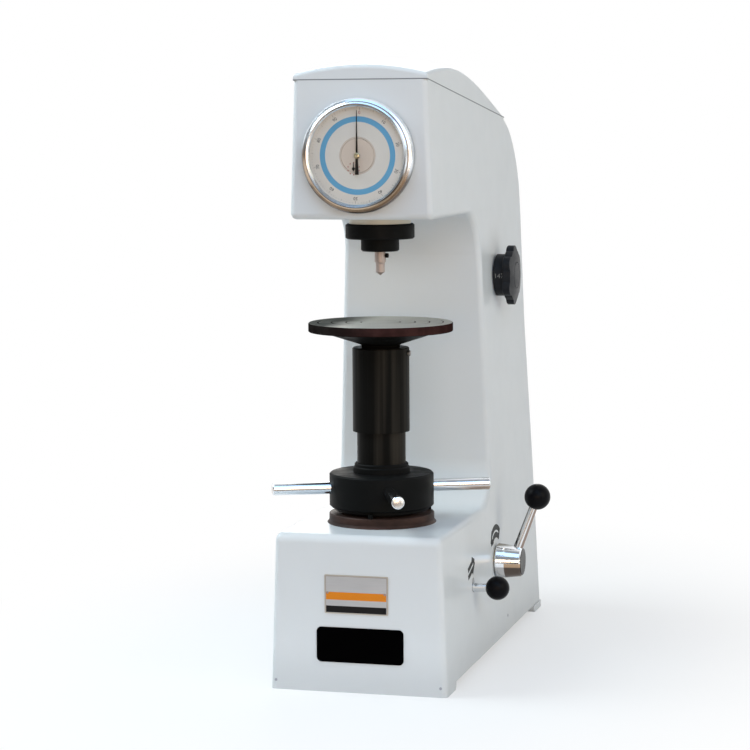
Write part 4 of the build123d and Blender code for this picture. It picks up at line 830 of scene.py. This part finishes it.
# ---- marks on the right wall ----
def side_marks():
    """Outlined arrows that show which way the two levers move."""
    lines = []
    centre = (UNLOAD_AT[0], UNLOAD_AT[1] + 3.0)
    tip = polar(30.0, 141, centre)
    lines.append((arc(25.4, 55, 120, 22, centre), 6.2))
    lines.append((arc(33.8, 55, 120, 22, centre), 6.2))
    lines.append(([polar(24.0, 118, centre), tip], 6.0))
    lines.append(([polar(35.6, 118, centre), tip], 6.0))
    lines.append(([polar(23.0, 56, centre), polar(36.5, 56, centre)], 5.4))
    lines.append(([(15.0, 101.0), (38.0, 107.5)], 5.2))
    lines.append(([(15.0, 108.6), (38.0, 115.1)], 5.2))
    lines.append(([(35.0, 102.5), (45.5, 113.5)], 5.4))
    lines.append(([(33.0, 118.0), (45.5, 113.5)], 5.4))
    marks = bmesh.new()
    for path, width in lines:
        slab(marks, stroke(path, width), on_side, 0.04)
    make_piece("lever_arrows", marks, mark_grey, "frame", smooth=False)


# ---- numbers on the selector knob ----
def knob_numbers():
    """The three loads, on the knob's hub; the one in use faces the operator."""
    numbers = bmesh.new()
    radius = KNOB_HUB_R + 0.16
    for index, text in enumerate(("147", "294", "441")):
        turn = math.radians(180.0 - index * 120.0)

        def place(u, v, turn=turn):
            angle = turn - v / radius
            y = KNOB_AT[0] + radius * math.cos(angle)
            return (KNOB_NUMBER_X + u, y, KNOB_AT[1] + radius * math.sin(angle))
        add_number(numbers, text, KNOB_NUMBER_HEIGHT, place)
    make_piece("knob_numbers", numbers, ink_white, "selector", smooth=False)


# ---- seam of the top cover ----
def cover_seam():
    """Thin dark strip along the joint all round, a painted shadow of the seam."""
    proud = 0.12
    half = 0.55
    stations = [HEAD_FRONT_Y + (COVER_REAR_Y - HEAD_FRONT_Y) * i / 12 for i in range(13)]
    right = [(half_width(seam_z(y)), y) for y in stations]
    loop = right + [(-x, y) for x, y in reversed(right)]
    seam = bmesh.new()
    rings = []
    count = len(loop)
    for i, (x, y) in enumerate(loop):
        here = Vector((x, y))
        arrive = (here - Vector(loop[i - 1])).normalized()
        leave = (Vector(loop[(i + 1) % count]) - here).normalized()
        normal = Vector((arrive.y + leave.y, -arrive.x - leave.x)).normalized()
        grow = proud / max(0.5, normal.dot(Vector((leave.y, -leave.x))))
        section = ((-0.6, -half), (0.6 * grow, -half), (grow, -0.5 * half),
                   (grow, 0.5 * half), (0.6 * grow, half), (-0.6, half))
        spots = [(here + normal * offset, lift) for offset, lift in section]
        rings.append([seam.verts.new((spot.x, spot.y, seam_z(y) + lift)) for spot, lift in spots])
    for i in range(count):
        first = rings[i]
        second = rings[(i + 1) % count]
        for k in range(len(first)):
            m = (k + 1) % len(first)
            seam.faces.new((first[k], second[k], second[m], first[m]))
    make_piece("cover_seam", seam, painted_seam_shadow, "frame")


# ---- cone that stiffens the table from below ----
def table_cone():
    under = TABLE_TOP_Z - TABLE_RIM - 0.3
    profile = [(19.0, under - 0.3), (59.0, under - 0.3), (60.0, under - 0.9), (21.5, under - 13.4),
               (20.9, under - 13.9), (19.0, under - 13.9), (19.0, under - 0.3)]
    cone = bmesh.new()
    lathe(cone, profile, lambda x, y, z: (x, y, z), 96)
    make_piece("table_cone", cone, cone_black, "jack_screw")


# ---- polished domes on the ends of the handwheel's rods ----
def rod_ends():
    dome = [(5.0, -0.2), (4.9, 0.1), (4.2, 0.42), (2.9, 0.7), (1.4, 0.85), (0.0, 0.9)]
    domes = bmesh.new()
    for index in range(ROD_COUNT):
        turn = math.radians(ROD_FIRST + index * 360.0 / ROD_COUNT)
        outwards = Vector((math.cos(turn), math.sin(turn)))
        across = Vector((-math.sin(turn), math.cos(turn)))

        def place(u, v, h, outwards=outwards, across=across):
            return (*(outwards * (ROD_TIP + h) + across * u), ROD_Z + v)
        lathe(domes, dome, place)
    make_piece("rod_end_domes", domes, satin, "jack_wheel")


# ---- plugs over the casting's small holes ----
def casting_plugs():
    plugs = bmesh.new()
    dome = [(1.5, 0.0), (1.45, 0.2), (1.2, 0.35), (0.6, 0.45), (0.0, 0.47)]
    for x in (-87.0, 86.0):
        lathe(plugs, dome, lambda u, v, h, x=x: (x + u, BASE_FRONT_Y - h, 9.5 + v), 20)
    lathe(plugs, dome, lambda u, v, h: on_side(199.0 + u * 1.2, 25.0 + v * 1.2, h), 20)
    make_piece("casting_plugs", plugs, plug_grey, "frame")


make_camera()
make_world()
make_floor()
make_bench()
make_lamps()

enamel("white_enamel", (0.66, 0.68, 0.69)).give("frame_casting", "top_cover", "rear_cover")
enamel("cream_enamel", (0.70, 0.67, 0.57)).give("spindle_housing")
enamel("cast_grey", (0.22, 0.23, 0.235), 4.0).give(
    "screw_guide", "dashpot_cylinder", "dashpot_cover", "weight_yoke", "dial_case")
dark_oxide("black_oxide", (0.0055, 0.006, 0.006), specular=0.05).give(
    "guard_flange", "indenter_screw", "handwheel", "seat_ring_screws", "sleeve_collar", "thrust_bearing",
    "lead_screw")
bright_metal("screw_steel", (0.30, 0.29, 0.28), 0.35).give("rear_cover_screws", "sleeve_screw")
bright_metal("ground_steel", (0.42, 0.42, 0.42), 0.3, 2.0, (1, 1, 0.1)).give(
    "main_lever", "weight_hanger", "weight_1", "weight_2", "weight_3", "dashpot_piston",
    "lifting_rod", "selector_shaft", "selector_cams", "unload_shaft", "unload_eccentric", "latch_disc",
    "latch_plate")
bright_metal("tool_steel", (0.50, 0.455, 0.43), 0.24, 2.0, (1, 1, 4)).give(
    "lever_knives", "tail_pin", "latch_pin", "fulcrum_blocks")
bright_metal("brass", (0.55, 0.40, 0.17), 0.28).give(
    "selector_bush", "unload_bush", "lifter_guide", "gauge_movement")
moulded("black_phenolic", (0.003, 0.003, 0.0038), 0.3, 0.07).give("unload_ball", "load_ball")
moulded("knob_black", (0.012, 0.0135, 0.0165), 0.4, 0.12).give("selector_knob")
moulded("badge_black", (0.0008, 0.0007, 0.0008), 0.5, 0.0).give("blank_badge")
print_ink("pointer_black", (0.018, 0.013, 0.011), 0.4).give("long_pointer", "small_pointer")
sleeve_finish()
table_finish()
ring_finish()
nose_finish()
dial_finish()
centre_finish()
glass_finish()
hub_finish()
bezel_finish()
rods_finish()
lever_rod_finish()
plate_finish()

ink_black = print_ink("ink_black", (0.012, 0.011, 0.011))
ink_soft = print_ink("ink_soft", (0.16, 0.14, 0.13))
ink_red = print_ink("ink_red", (0.42, 0.10, 0.09))
ink_orange = print_ink("ink_orange", (0.66, 0.21, 0.018), 0.35)
ink_brown = print_ink("ink_brown", (0.30, 0.22, 0.17))
ink_white = print_ink("ink_white", (0.22, 0.22, 0.21))
mark_grey = print_ink("mark_grey", (0.02, 0.021, 0.021))
gilt = bright_metal("gilt_brass", (0.58, 0.48, 0.31), 0.3)
pin_steel = bright_metal("pin_steel", (0.35, 0.30, 0.27), 0.3)
satin = bright_metal("satin_chrome", (0.86, 0.83, 0.81), 0.32)
# dark grey of the painted shadow along the cover's seam
painted_seam_shadow = moulded("painted_seam_shadow", (0.19, 0.20, 0.21), 0.6)
cone_black = dark_oxide("cone_black", (0.005, 0.005, 0.0045), specular=0.03)
plug_grey = enamel("plug_enamel", (0.36, 0.36, 0.40))

scale_ticks()
scale_numbers()
turn_counter_dots()
pointer_cap()
plate_prints()
side_marks()
knob_numbers()
cover_seam()
table_cone()
rod_ends()
casting_plugs()

bpy.context.scene.view_settings.view_transform = "Standard"
